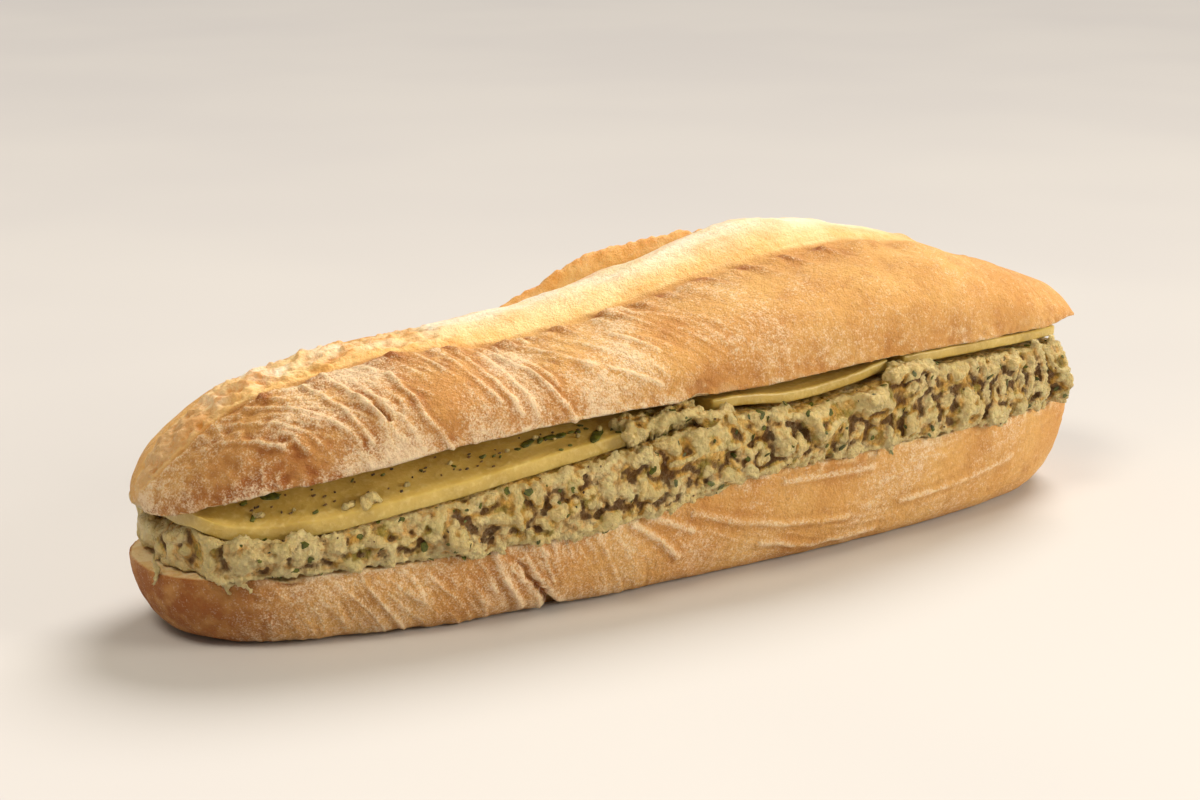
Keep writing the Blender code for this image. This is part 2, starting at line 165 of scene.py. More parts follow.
def skin(name, rings, first_tip, last_tip, masks, material):
    """A closed mesh through the rings, with a point at each end and one value per point in each mask."""
    rows, count = rings.shape[:2]
    points = np.vstack([rings.reshape(-1, 3), [first_tip, last_tip]])
    r, c = np.meshgrid(np.arange(rows - 1), np.arange(count), indexing="ij")
    d = (c + 1) % count
    faces = np.stack([r * count + c, r * count + d, (r + 1) * count + d, (r + 1) * count + c], -1)
    faces = faces.reshape(-1, 4).tolist()
    for i in range(count):
        j = (i + 1) % count
        faces.append((rows * count, j, i))
        faces.append((rows * count + 1, (rows - 1) * count + i, (rows - 1) * count + j))
    mesh = new_mesh(name, points, faces)
    mesh.shade_smooth()
    for mask, values in masks.items():
        values = values.reshape(rows, count)
        at_tips = [values[0].mean(), values[-1].mean()]
        store_mask(mesh, mask, np.clip(np.append(values.reshape(-1), at_tips), 0, 1))
    mesh.materials.append(material)
    return in_scene(name, mesh)


def dye(red, green, blue):
    """A colour named by its screen values, as the shader wants it."""
    screen = np.array((red, green, blue)) / 255
    linear = np.where(screen <= 0.04045, screen / 12.92, ((screen + 0.055) / 1.055) ** 2.4)
    return (*linear.tolist(), 1)


def new_material(name, roughness):
    """A new material, its node tree and its Principled shader."""
    material = bpy.data.materials.new(name)
    material.use_nodes = True
    tree = material.node_tree
    shader = tree.nodes["Principled BSDF"]
    shader.inputs["Roughness"].default_value = roughness
    return material, tree, shader


def join(tree, *links):
    """Joins an output of one node to an input of another, once for each link."""
    for source, outlet, target, inlet in links:
        tree.links.new(source.outputs[outlet], target.inputs[inlet])


def mottling_group():
    """Uneven patches on the piece's own coordinates, which every surface of the sandwich shows."""
    group = bpy.data.node_groups.new("mottling", "ShaderNodeTree")
    for label, value in (
        ("Size", 0.005), ("Detail", 4.0), ("Raggedness", 0.55), ("From", 0.3), ("To", 0.7), ("Least", 0.0),
        ("Most", 1.0),
    ):
        socket = group.interface.new_socket(label, in_out="INPUT", socket_type="NodeSocketFloat")
        socket.default_value = value
    group.interface.new_socket("Amount", in_out="OUTPUT", socket_type="NodeSocketFloat")
    inlet = group.nodes.new("NodeGroupInput")
    outlet = group.nodes.new("NodeGroupOutput")
    place = group.nodes.new("ShaderNodeTexCoord")
    per_metre = group.nodes.new("ShaderNodeMath")
    per_metre.operation = "DIVIDE"
    per_metre.inputs[0].default_value = 1
    cloud = group.nodes.new("ShaderNodeTexNoise")
    spread = group.nodes.new("ShaderNodeMapRange")
    spread.interpolation_type = "SMOOTHSTEP"
    join(
        group,
        (place, "Object", cloud, "Vector"), (inlet, "Size", per_metre, 1),
        (per_metre, "Value", cloud, "Scale"), (inlet, "Detail", cloud, "Detail"),
        (inlet, "Raggedness", cloud, "Roughness"), (cloud, "Fac", spread, "Value"),
        (inlet, "From", spread, "From Min"), (inlet, "To", spread, "From Max"),
        (inlet, "Least", spread, "To Min"), (inlet, "Most", spread, "To Max"),
        (spread, "Result", outlet, "Amount"),
    )
    return group


mottling = mottling_group()


def add_mottle(tree, size, low=0.3, high=0.7, least=0.0, most=1.0, detail=4.0, raggedness=0.55):
    """Places the mottling in a material, with patches of about this size in metres."""
    node = tree.nodes.new("ShaderNodeGroup")
    node.node_tree = mottling
    values = (size, detail, raggedness, low, high, least, most)
    for socket, value in zip(node.inputs, values):
        socket.default_value = value
    return node.outputs["Amount"]


def add_levels(tree, value, low, high, start=0.0, end=1.0):
    """Spreads values between low and high over start to end, and clamps the rest."""
    spread = tree.nodes.new("ShaderNodeMapRange")
    spread.interpolation_type = "SMOOTHSTEP"
    spread.inputs["From Min"].default_value = low
    spread.inputs["From Max"].default_value = high
    spread.inputs["To Min"].default_value = start
    spread.inputs["To Max"].default_value = end
    tree.links.new(value, spread.inputs["Value"])
    return spread.outputs["Result"]


def add_mask(tree, name):
    """A value stored on the points of the piece."""
    mask = tree.nodes.new("ShaderNodeAttribute")
    mask.attribute_name = name
    return mask.outputs["Fac"]


def add_math(tree, kind, first, second):
    """One sum of two values, each a socket or a number."""
    node = tree.nodes.new("ShaderNodeMath")
    node.operation = kind
    for socket, value in zip(node.inputs, (first, second)):
        if isinstance(value, (int, float)):
            socket.default_value = value
        else:
            tree.links.new(value, socket)
    return node.outputs["Value"]


def add_mix(tree, share, first, second):
    """Two colours mixed by a share, each a socket or a colour."""
    node = tree.nodes.new("ShaderNodeMix")
    node.data_type = "RGBA"
    for socket, value in ((node.inputs["Factor"], share), (node.inputs[6], first), (node.inputs[7], second)):
        if isinstance(value, (int, float, tuple)):
            socket.default_value = value
        else:
            tree.links.new(value, socket)
    return node.outputs[2]


def add_bump(tree, shader, height, depth, strength=1.0):
    """Low relief from a height between 0 and 1, this many metres deep."""
    relief = tree.nodes.new("ShaderNodeBump")
    relief.inputs["Strength"].default_value = strength
    relief.inputs["Distance"].default_value = depth
    tree.links.new(height, relief.inputs["Height"])
    tree.links.new(relief.outputs["Normal"], shader.inputs["Normal"])


def let_light_in(shader, weight, radius, scale):
    """Lets light sink into a soft material: its share, its reach in red, green and blue, and metres."""
    for label, value in (("Weight", weight), ("Radius", radius), ("Scale", scale)):
        shader.inputs["Subsurface " + label].default_value = value


# Crust and crumb are one material, because the cut runs through both. The masks are stored on the
# mesh: flour left from the cloth, laid thicker on crests as partly painted highlight, toast where the
# oven browned it together with painted shade in creases, cracks, slits and pores, gold where the
# crumb rose through the score, crown for a painted highlight on the top of that, and crumb on the
# torn and cut faces.
bread, tree, shader = new_material("floury crust and crumb", 0.8)
colour = add_mix(tree, add_mottle(tree, 0.018, 0.35, 0.65), dye(216, 158, 86), dye(230, 180, 106))
colour = add_mix(tree, add_mottle(tree, 0.0045, 0.48, 0.74, 0, 0.50, 5), colour, dye(196, 130, 62))
colour = add_mix(tree, add_mottle(tree, 0.0012, 0.50, 0.78, 0, 0.30, 4, 0.65), colour, dye(176, 110, 48))
gold_tone = add_mix(tree, add_mottle(tree, 0.006, 0.36, 0.64), dye(252, 222, 156), dye(246, 198, 116))
# The crown's pale tone is a painted highlight on the top of the mound
crown_highlight_tone = add_mix(tree, add_mottle(tree, 0.008, 0.40, 0.66, 0, 0.8), dye(255, 248, 228), dye(250, 232, 188))
gold_tone = add_mix(tree, add_mask(tree, "crown"), gold_tone, crown_highlight_tone)
colour = add_mix(tree, add_mask(tree, "gold"), colour, gold_tone)
crumb_tone = add_mix(tree, add_mottle(tree, 0.003, 0.35, 0.70), dye(244, 224, 184), dye(228, 190, 128))
# Where gold marks the gape, the crumb takes a darker beige: partly the crumb's own tone, partly painted
# half-shade
crumb_tone = add_mix(tree, add_mask(tree, "gold"), crumb_tone, dye(214, 174, 122))
colour = add_mix(tree, add_mask(tree, "crumb"), colour, crumb_tone)
# Brown from the toast mask: real browning, and painted shade in creases, cracks, slits and pores
toasted_and_shaded = add_math(tree, "MULTIPLY", add_mask(tree, "toast"), add_mottle(tree, 0.0035, 0.25, 0.62, 0.45, 1.0))
toast_and_shade_tone = add_mix(tree, add_mask(tree, "gold"), dye(160, 92, 34), dye(228, 158, 68))
colour = add_mix(tree, toasted_and_shaded, colour, toast_and_shade_tone)
fine_flour = add_mottle(tree, 0.00038, 0.33, 0.72, -0.32, 0.40, 3, 0.7)
sifted = add_math(tree, "ADD", add_mask(tree, "flour"), fine_flour)
sifted = add_math(tree, "ADD", sifted, add_mottle(tree, 0.0013, 0.35, 0.70, -0.18, 0.18, 3, 0.6))
floured = add_levels(tree, sifted, 0.05, 0.95, 0, 0.80)
colour = add_mix(tree, floured, colour, dye(250, 230, 198))
tree.links.new(colour, shader.inputs["Base Color"])
tree.links.new(add_levels(tree, add_mask(tree, "gold"), 0, 1, 0.78, 0.50), shader.inputs["Roughness"])
let_light_in(shader, 0.16, (1.0, 0.50, 0.18), 0.002)
grit = add_mottle(tree, 0.0011, 0.2, 0.8, 0, 1, 4, 0.65)
grit = add_math(tree, "ADD", grit, add_mottle(tree, 0.00045, 0.25, 0.75, 0, 0.55, 3, 0.7))
grit = add_math(tree, "MULTIPLY", grit, add_levels(tree, add_mask(tree, "gold"), 0, 1, 1.0, 0.7))
add_bump(tree, shader, grit, 0.00036, 0.9)

points_round = 920
turn = np.linspace(0, 2 * math.pi, 8001)
edge_x = HALF_LENGTH * np.sign(np.cos(turn)) * np.abs(np.cos(turn)) ** (2 / PLAN_POWER)
edge_y = HALF_WIDTH * np.sign(np.sin(turn)) * np.abs(np.sin(turn)) ** (2 / PLAN_POWER)
run = np.concatenate([[0], np.cumsum(np.hypot(np.diff(edge_x), np.diff(edge_y)))])
near_front = np.where(edge_y < 4 * MM, 2.2, 1.0)
effort = np.concatenate([[0], np.cumsum(np.diff(run) * near_front[1:])])
wanted = np.interp(np.linspace(0, effort[-1], points_round, endpoint=False), effort, run)
edge_x = np.interp(wanted, run, edge_x)
edge_x = np.where(edge_x > 0, edge_x * BOTTOM_RIGHT_TIP / HALF_LENGTH, edge_x)
edge_y = np.interp(wanted, run, edge_y)

rings = []
level = []
for share in (0.2, 0.45, 0.7, 0.88, 0.96):
    foot_x, foot_y = edge_x * FOOT_LENGTH_SHARE * share, edge_y * FOOT_WIDTH_SHARE * share
    rings.append(np.stack([foot_x, foot_y, 0 * edge_x], -1))
    level.append(-1)
for degrees in np.concatenate([np.linspace(0, 30, 14), np.linspace(32, 88.5, 54)]):
    bulge = math.sin(math.radians(degrees))
    x = edge_x * (FOOT_LENGTH_SHARE + (1 - FOOT_LENGTH_SHARE) * bulge)
    y = edge_y * (FOOT_WIDTH_SHARE + (1 - FOOT_WIDTH_SHARE) * bulge**0.9)
    rim = between_rims(BOTTOM_RIM_FRONT, BOTTOM_RIM_BACK, x, y)
    rings.append(np.stack([x, y, rim * (1 - math.cos(math.radians(degrees)))], -1))
    level.append(degrees / 90)
CUT_RINGS = (
    0.996, 0.985, 0.97, 0.95, 0.925, 0.90, 0.87, 0.84, 0.80, 0.75, 0.68, 0.60, 0.50, 0.38, 0.25, 0.12,
)
for share in CUT_RINGS:
    rings.append(np.stack([edge_x * share, edge_y * share, bottom_cut(edge_x * share, edge_y * share)], -1))
    level.append(2 - share)
rings = np.array(rings)
level = np.array(level)[:, None] + 0 * rings[..., 0]
normal = surface_normals(rings)
flat = rings.reshape(-1, 3)
x, y, z = flat.T
side = (step(level, 0.02, 0.25) * (level < 1)).reshape(-1)
cut = (level > 1).reshape(-1)
rise = (level * (level < 1)).reshape(-1)
front = step(-y, 0, 12 * MM)

# Folds slant steeply at the left of the roll, and sweep round to lie along it at the right
SWEEP = (
    (-110, -1.2), (-50, -1.2), (-20, -0.8), (-12, -0.45), (-5, -0.33), (5, -0.25), (20, -0.08), (35, 0.0),
    (50, 0.06), (70, 0.14), (110, 0.2),
)
sweep_x = np.linspace(-112, 112, 2000) * MM
sweep_slope = np.interp(sweep_x, *np.array([(place * MM, slope) for place, slope in SWEEP]).T)
sweep_height = np.concatenate([[0], np.cumsum(np.diff(sweep_x) * sweep_slope[1:])])
slope_here = np.interp(x, sweep_x, sweep_slope)
across = (z - np.interp(x, sweep_x, sweep_height)) / np.hypot(1, slope_here)
run_along = (x + slope_here * z) / np.hypot(1, slope_here)
broad_fold = folds(across, run_along, 3.2 * MM, 22 * MM, 3, 4)
fine_fold = folds(across, run_along, 1.6 * MM, 11 * MM, 4, 4)
leftward = step(-x, 15 * MM, 45 * MM)
crease = (0.28 + 0.26 * leftward) * broad_fold + (0.10 + 0.18 * leftward) * fine_fold
crease = crease * (0.20 + 0.80 * step(grain(flat, 11 * MM, 14), -0.35, 0.35)) * step(x, -104 * MM, -88 * MM)
RAISED_FOLDS_BELOW = (
    (((-10.7, 16.4), (-0.9, 13.1), (12.4, 9.8), (27.9, 8.6)), 0.55),
    (((11.2, 19.3), (22.5, 18.8), (33.4, 18.6)), 0.5),
    (((7.3, 6.3), (21.0, 3.5), (37.3, 3.8)), 0.4),
    (((-24.3, 16.4), (-18.0, 12.2), (-13.4, 7.8)), 0.6),
    (((-20.8, 17.5), (-10.4, 12.7)), 0.5),
    (((42.9, 9.3), (60.4, 10.2), (76.6, 12.5)), 0.4),
    (((-53.4, 15.0), (-50.2, 9.1), (-45.6, 2.3)), 0.5),
)
for line, strength in RAISED_FOLDS_BELOW:
    crease += (0.35 + strength) * near_line(x, z, line, 0.85 * MM) * (y < 0)
height = MM * side * (0.85 * crease + 0.35 * grain(flat, 9 * MM, 6) + 0.12 * grain(flat, 2.2 * MM, 7))

# The bottom crust split as it lifted off the tray: a crack from the rim down to a notch in the foot
jagged = 0.8 * MM * grain(np.stack([0 * z, 0 * z, z], -1), 1.3 * MM, 15)
crack_x = np.interp(z, (0, 1.6 * MM, 5 * MM, 15.7 * MM), (-38 * MM, -38.6 * MM, -42 * MM, -51 * MM)) + jagged
crack_wide = np.interp(z, (0, 2.0 * MM, 4 * MM, 14 * MM), (2.2 * MM, 1.1 * MM, 0.55 * MM, 0.4 * MM))
on_front = step(-y, 15 * MM, 22 * MM) * (level.reshape(-1) > 0) * (level.reshape(-1) < 1)
crack = bump(x, crack_x, crack_wide) * on_front * step(-z, -15 * MM, -11 * MM)
crack_deep = np.interp(z, (0, 3 * MM, 6 * MM, 15 * MM), (3.4 * MM, 1.7 * MM, 1.0 * MM, 0.6 * MM))
height -= crack * crack_deep
height += 0.35 * MM * bump(x, crack_x + 1.5 * MM, 1.0 * MM) * on_front * side * step(-z, -12 * MM, -8 * MM)

# The knife tore the rim here and there, and bit into it near the left end
torn = 0.45 * grain(flat, 2.6 * MM, 8) + 0.30 * grain(flat, 1.1 * MM, 9)
near_rim = step(level, 0.90, 0.985).reshape(-1) * (1 - step(level, 1.02, 1.10).reshape(-1))
bite = (bump(x, -90.5 * MM, 2.4 * MM) + 0.5 * bump(x, 52 * MM, 3 * MM)) * step(-y, 15 * MM, 20 * MM)
height += near_rim * (torn * 0.6 * MM - 0.9 * MM * bite)
crumb_grain = MM * (0.25 * grain(flat, 2.0 * MM, 10) + 0.18 * grain(flat, 0.9 * MM, 11) - 0.15)
height = np.where(cut, crumb_grain, height)
flat = flat + normal.reshape(-1, 3) * height[:, None]
flat[:, 2] -= near_rim * 1.2 * MM * bite
flat[:, 2] = np.maximum(flat[:, 2], 0)

relief = (height.reshape(level.shape) - evened(height.reshape(level.shape), 12)).reshape(-1) / (0.25 * MM)
crest, valley = np.clip(relief, 0, 1), np.clip(-relief, 0, 1)
# Crests take more flour, partly a real dusting and partly painted highlight; valleys take less, as painted
# shade
dusting = 0.26 + 0.45 * grain(flat, 14 * MM, 12) + 0.14 * leftward + 0.40 * crest - 0.3 * valley
# Browner towards the left end, low on the sides and in random patches; the crack and the valleys are darkened
# as painted shade
browned_and_shaded = 0.80 * step(-x, 80 * MM, 104 * MM) + 0.16 * leftward + 0.25 * step(-rise, -0.40, -0.05)
browned_and_shaded += 0.9 * crack + 0.45 * valley + 0.22 * step(grain(flat, 7 * MM, 13), 0.1, 0.6)
masks = {
    "flour": side * dusting * (0.5 + 0.5 * front) * step(x, -104 * MM, -88 * MM),
    "toast": side * browned_and_shaded + np.where(level.reshape(-1) < 0.02, 0.55, 0),
    "gold": 0 * x,
    "crown": 0 * x,
    "crumb": np.where(cut, 1, near_rim * step(torn, -0.05, 0.45) * 0.8 + near_rim * bite),
}
cut_middle = (0, 0, float(bottom_cut(np.array(0.0), np.array(0.0))))
bread_bottom = skin("bread_bottom_crust", flat.reshape(rings.shape), (0, 0, 0), cut_middle, masks, bread)
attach(bread_bottom, "root")
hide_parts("bread_bottom")


# TOP HALF OF THE ROLL
# The same dough, slashed once along the top before it was baked. The crumb rose through the slash
# as a smooth golden mound, the front lip puckered, and the back edge lifted in a thin ear.

TOP_LEFT_TIP = -109.6 * MM
TOP_RIGHT_TIP = 109.8 * MM
TOP_RIM_FRONT = (
    (-111, 24.5), (-101, 29.4), (-80, 33.6), (-46, 38.0), (0, 39.2), (45, 40.8), (90, 39.6), (111, 37.6),
)
TOP_RIM_BACK = ((-111, 24.5), (-85, 27.2), (0, 30.6), (60, 32.2), (111, 36.8))
CROWN = (
    (-111, 27.0), (-103, 35.6), (-92, 43.6), (-80, 46.6), (-60, 49.2), (-44, 47.6), (-15, 51.6),
    (8, 56.0), (40, 58.8), (52, 58.4), (64, 56.4), (90, 48.4), (101, 44.6), (107, 41.6), (111, 37.8),
)
MOUND = (
    (-111, 0.0), (-106, 0.8), (-97, 0.6), (-88, 0.4), (-75, 0.8), (-60, 0.5), (-44, 4.6), (-25, 4.6),
    (0, 5.4), (22, 7.2), (40, 4.6), (52, 2.6), (66, 0.0), (114, 0.0),
)
EAR = (
    (-111, 0), (-72, 0), (-40, 2.4), (-26, 3.2), (-12, 7.2), (8, 7.6), (24, 6.2), (52, 1.8), (66, 0),
    (114, 0),
)
CREASE = (
    (-111, 0.6), (-104, 2.2), (-93, 2.6), (-82, 1.4), (-60, 1.3), (0, 1.0), (40, 0.8), (58, 0.2),
    (66, 0), (114, 0),
)
LIP_HEIGHT = 1.6 * MM
LIP_PITCH = 11.0 * MM
SCORE_END = 64 * MM
LIP_AT = -0.40
CREASE_AT = -0.34
GROOVE_AT = 0.30
EAR_AT = ((0.345, 0.55), (0.395, 0.97), (0.43, 0.92), (0.465, 0.45))
ARCH_POWER = 2.3


def top_cut(x, y):
    """The cut face of the top half."""
    return between_rims(TOP_RIM_FRONT, TOP_RIM_BACK, x, y)


def arch(x, y, width):
    """The smooth crust of the top half, from rim to crown to rim, thinning to the right tip."""
    power = ARCH_POWER - 0.95 * step(x, 88 * MM, 107 * MM)
    rise = along(CROWN, x) - top_cut(x, 0 * x)
    share = np.clip(np.abs(y) / np.maximum(width, 1e-6), 0, 1)
    return top_cut(x, y) + rise * np.clip(1 - share**power, 0, 1) ** (1 / power)


def lip_scallops(x):
    """Share of the full height of the front lip, bump after bump, fading where the score closes."""
    scallop = 0.6 + 0.4 * np.sin(2 * math.pi * x / LIP_PITCH + 1.2 * np.sin(x / (17 * MM)))
    return scallop * np.clip((SCORE_END - x) / (12 * MM), 0, 1) * np.clip((x + 109 * MM) / (8 * MM), 0, 1)


def score_rise(x, share):
    """How far lip, crease, mound, groove and ear stand off the smooth crust."""
    ear = along(EAR, x)
    mound = along(MOUND, x)
    knots = [-0.50, LIP_AT, CREASE_AT]
    lip = 0.6 * LIP_HEIGHT * lip_scallops(x) + 0.04 * mound
    shallow = 0.12 + 0.88 * step(-x, 88 * MM, 97 * MM)
    rises = [0 * x, lip, 0.13 * mound - along(CREASE, x) * shallow]
    for part in np.linspace(0.06, 0.94, 12):
        knots.append(CREASE_AT + (GROOVE_AT - CREASE_AT) * part)
        steepness, least = (0.95, 0.13) if part < 0.5 else (0.6, 0)
        rises.append(mound * max(math.sin(math.pi * part) ** steepness, least))
    knots.append(GROOVE_AT)
    rises.append(-0.08 * ear)
    for place, part in EAR_AT:
        knots.append(place)
        rises.append(part * ear)
    knots.append(0.55)
    rises.append(0 * x)
    total = 0 * x * share
    for k in range(len(knots) - 1):
        t = (share - knots[k]) / (knots[k + 1] - knots[k])
        inside = (t >= 0) & (t < 1)
        eased = np.clip(t, 0, 1)
        eased = 0.5 * eased + 0.5 * eased * eased * (3 - 2 * eased)
        total = np.where(inside, rises[k] * (1 - eased) + rises[k + 1] * eased, total)
    return total


stations = 520
spread = np.linspace(1, -1, stations + 2)[1:-1]
spread = 0.55 * spread + 0.45 * np.sin(spread * math.pi / 2)
spread = spread - 0.16 * (1 - spread**2)
station_x = (TOP_LEFT_TIP + TOP_RIGHT_TIP) / 2 + (TOP_RIGHT_TIP - TOP_LEFT_TIP) / 2 * spread
lower_front = -(np.cos(np.radians(np.linspace(0, 66, 84))) ** (2 / ARCH_POWER))
over_score = np.linspace(lower_front[-1], 0.50, 66)[1:]
lower_back = np.cos(np.radians(np.linspace(61, 0, 27))) ** (2 / ARCH_POWER)
crust_shares = np.concatenate([lower_front, over_score, lower_back[1:]])
UNDER_SHARES = (
    0.985, 0.96, 0.92, 0.85, 0.7, 0.45, 0.2, -0.05, -0.3, -0.55, -0.7, -0.8, -0.87, -0.92, -0.955,
    -0.98, -0.993,
)
shares = np.concatenate([crust_shares, UNDER_SHARES])
under = np.arange(len(shares)) >= len(crust_shares)
x = station_x[:, None] + 0 * shares[None, :]
share = shares[None, :] + 0 * x
width = plan_width(x, TOP_LEFT_TIP, TOP_RIGHT_TIP)
y = share * width
z = np.where(under[None, :], top_cut(x, y), arch(x, y, width) + score_rise(x, share))
rings = np.stack([x, y, z], -1)
normal = surface_normals(rings)
arc = np.zeros_like(x)
arc[:, 1:] = np.cumsum(np.linalg.norm(np.diff(rings, axis=1), axis=-1), 1)
flat = rings.reshape(-1, 3)
x, y, z = flat.T
share = share.reshape(-1)
arc = arc.reshape(-1)
below = np.tile(under, stations)
lid = ~below
along_score = step(x, -108 * MM, -98 * MM) * step(-x, -68 * MM, -54 * MM)
front_crust = lid * step(-share, 0.36, 0.42)
back_crust = lid * step(share, 0.44, 0.50)
on_mound = lid * step(share, CREASE_AT, CREASE_AT + 0.05) * along_score
on_mound = on_mound * step(-share, -GROOVE_AT - 0.03, -GROOVE_AT + 0.03)
along_ear = lid * step(along(EAR, x), 0.8 * MM, 2.5 * MM)
ear_inner = along_ear * step(share, GROOVE_AT - 0.03, GROOVE_AT + 0.02) * step(-share, -0.415, -0.385)
ear_edge = along_ear * bump(share, 0.41, 0.03)

# Folds run from the lip down to the rim, leaning right; they are deep at the left and die out past
# the middle. The longest ones stand up as thin ridges.
RAISED_FOLDS_ABOVE = (
    (((-67.0, 19.5), (-66.4, 14.0), (-65.0, 7.0), (-61.2, 0.0)), 1.0),
    (((-92.0, 19.0), (-86.0, 15.5), (-81.0, 11.0), (-77.5, 5.5)), 0.7),
    (((-95.0, 15.5), (-90.0, 13.0), (-85.5, 9.0), (-82.5, 5.0)), 0.5),
    (((-98.5, 12.0), (-93.5, 10.0), (-89.0, 6.5)), 0.4),
    (((-81.6, 22.2), (-78.6, 13.5), (-75.2, 5.0)), 0.7),
    (((-77.6, 25.0), (-74.6, 13.3), (-69.6, 3.4)), 0.7),
    (((-73.4, 20.0), (-72.2, 13.8), (-66.4, 1.8)), 0.5),
    (((-56.0, 24.0), (-53.4, 14.0), (-50.7, 6.4)), 0.6),
    (((-51.5, 23.3), (-50.5, 14.0), (-47.5, 3.3)), 0.8),
    (((-47.6, 22.0), (-46.4, 10.0), (-43.9, 1.8)), 0.7),
    (((-44.9, 19.9), (-42.0, 11.5), (-40.2, 6.5), (-36.5, 0.0)), 1.0),
    (((-41.5, 20.5), (-38.6, 7.0)), 0.6),
    (((-38.3, 21.6), (-34.0, 14.5), (-30.5, 9.7)), 0.8),
    (((-32.0, 24.0), (-28.0, 17.0), (-25.4, 13.5)), 0.5),
    (((-21.5, 18.3), (-16.2, 10.8)), 0.7),
    (((-26.7, 8.7), (-18.2, 4.0)), 0.7),
    (((-12.0, 24.0), (-7.0, 18.0)), 0.4),
    (((-93.0, 8.8), (-90.0, 7.6), (-87.6, 8.4), (-85.8, 5.6)), 0.9),
)
wander = 0.9 * MM * grain(flat, 2.6 * MM, 46)
FOLD_LEAN = (
    (-98, 1.3), (-86, 0.9), (-74, 0.36), (-45, 0.30), (-34, 0.55), (-19, 0.80), (5, 1.1), (60, 1.4),
)
lean = np.interp(x, *np.array([(place * MM, slope) for place, slope in FOLD_LEAN]).T)
across = x + lean * arc
fold = folds(across, arc - 0.3 * x, 4.4 * MM, 30 * MM, 21, 5)
fold_two = folds(across + 0.15 * arc, arc - 0.3 * x, 2.3 * MM, 18 * MM, 22, 4)
fold_fine = folds(across - 0.10 * arc, arc - 0.3 * x, 1.3 * MM, 10 * MM, 23, 3)
fold_share = step(-x, -18 * MM, 34 * MM) * (0.45 + 0.55 * step(arc, 2 * MM, 14 * MM)) + 0.05
fold_share *= 0.25 + 0.75 * step(grain(flat, 10 * MM, 24), -0.30, 0.40)
fold_share *= 1 - 0.75 * step(-x, 82 * MM, 96 * MM)
creased = fold_share * (0.50 * fold + 0.32 * fold_two + 0.16 * fold_fine)
for line, strength in RAISED_FOLDS_ABOVE:
    creased += 0.62 * strength * near_line(x + 0.5 * wander, arc, line, 0.60 * MM)
height = front_crust * creased + back_crust * 0.5 * fold_share * (0.55 * fold + 0.3 * fold_two)
height += lid * (0.60 * grain(flat, 11 * MM, 25) + 0.12 * grain(flat, 2.6 * MM, 26))
knobbly = 0.5 - 1.8 * np.abs(grain(flat, 3.2 * MM, 48)) + 0.35 * grain(flat, 1.5 * MM, 49)
height += front_crust * 0.42 * knobbly * step(-x, 74 * MM, 94 * MM)
height += front_crust * 0.22 * grain(flat, 5.5 * MM, 53) * step(x, 10 * MM, 40 * MM)

# Puckers along the lip: browned folds of irregular size, each with a dimple behind it
PUCKERS = (
    (-91.2, 3.0), (-81.2, 4.6), (-63.6, 3.6), (-52.5, 2.0), (-41.3, 4.2), (-34.8, 2.2), (-28.5, 3.2),
    (-17.2, 3.4), (-9.4, 2.6), (-1.6, 3.2), (8.4, 4.2), (19.7, 4.2), (29.1, 2.8), (38.5, 3.4),
)
pucker = 0 * x
dimple = 0 * x
for centre, reach in PUCKERS:
    slanted = x + wander + 0.7 * (arc - 25 * MM) - centre * MM
    pucker += bump(slanted, 0, 0.34 * reach * MM) * bump(share, LIP_AT - 0.055, 0.028 * reach)
    dimple += bump(slanted, -0.45 * reach * MM, 0.35 * reach * MM) * bump(share, LIP_AT + 0.01, 0.05)
small = folds(x + wander + 0.7 * arc, arc, 2.4 * MM, 20 * MM, 27, 3) * bump(share, LIP_AT - 0.05, 0.07)
pucker = along_score * np.clip(pucker + 0.40 * small, 0, 1.2)
dimple = along_score * np.clip(dimple, 0, 1)
height += lid * (0.45 * pucker - 0.34 * dimple)
# The mound has long shallow dents, and is pulled into strands where it meets the ear
dents = grain(flat * (0.35, 1, 1), 4.0 * MM, 28)
strands = folds(y + 0.05 * x, x, 1.5 * MM, 14 * MM, 29, 3)
height += on_mound * (0.45 * dents + 0.24 * strands * step(share, -0.1, 0.3))
height += on_mound * 0.14 * grain(flat, 1.4 * MM, 30)
only_x = np.stack([x, 0 * x, 0 * x], -1)
ragged = grain(only_x, 2.6 * MM, 31) + 0.7 * grain(only_x, 1.2 * MM, 32)
height += ear_inner * (0.40 * grain(flat, 1.8 * MM, 33) + 0.3 * grain(flat, 4 * MM, 58))
# Left of the mound the crumb tore as it rose, and baked to a rough golden crust
rough_zone = lid * step(share, CREASE_AT + 0.01, CREASE_AT + 0.10) * step(-share, -0.40, -0.20)
rough_zone *= step(x, -97 * MM, -93 * MM) * step(-x, 44 * MM, 54 * MM)
bubbled = 1 - 2.2 * np.abs(grain(flat, 5.0 * MM, 43))
bubbled += 0.60 * grain(flat, 2.2 * MM, 44) + 0.50 * grain(flat, 1.1 * MM, 47)
height += rough_zone * (0.95 * bubbled - 0.35)
# At the left tip the score gapes and shows porous crumb behind the lip
gape = lid * step(-x, 93 * MM, 98 * MM)
gape = gape * step(share, CREASE_AT - 0.01, CREASE_AT + 0.10) * step(-share, -0.42, -0.20)
pores = step(grain(flat, 1.9 * MM, 34), 0.28, 0.55) + 0.6 * step(grain(flat, 0.95 * MM, 35), 0.25, 0.55)
height += gape * 0.50 * (grain(flat, 3.0 * MM, 45) + grain(flat, 1.4 * MM, 54))
height -= gape * 0.55 * np.clip(pores, 0, 1.2)
# Small blisters on the smooth right end, and a slit low on the left
blister = bump(x, 63.6 * MM, 2.2 * MM) * bump(share, -0.10, 0.08)
blister += bump(x, 80.8 * MM, 1.8 * MM) * bump(share, -0.12, 0.09)
height += lid * 0.9 * blister
slit = near_line(x, arc, ((-72.6, 11.9), (-71.4, 8.0)), 0.34 * MM)
height -= front_crust * 1.2 * slit
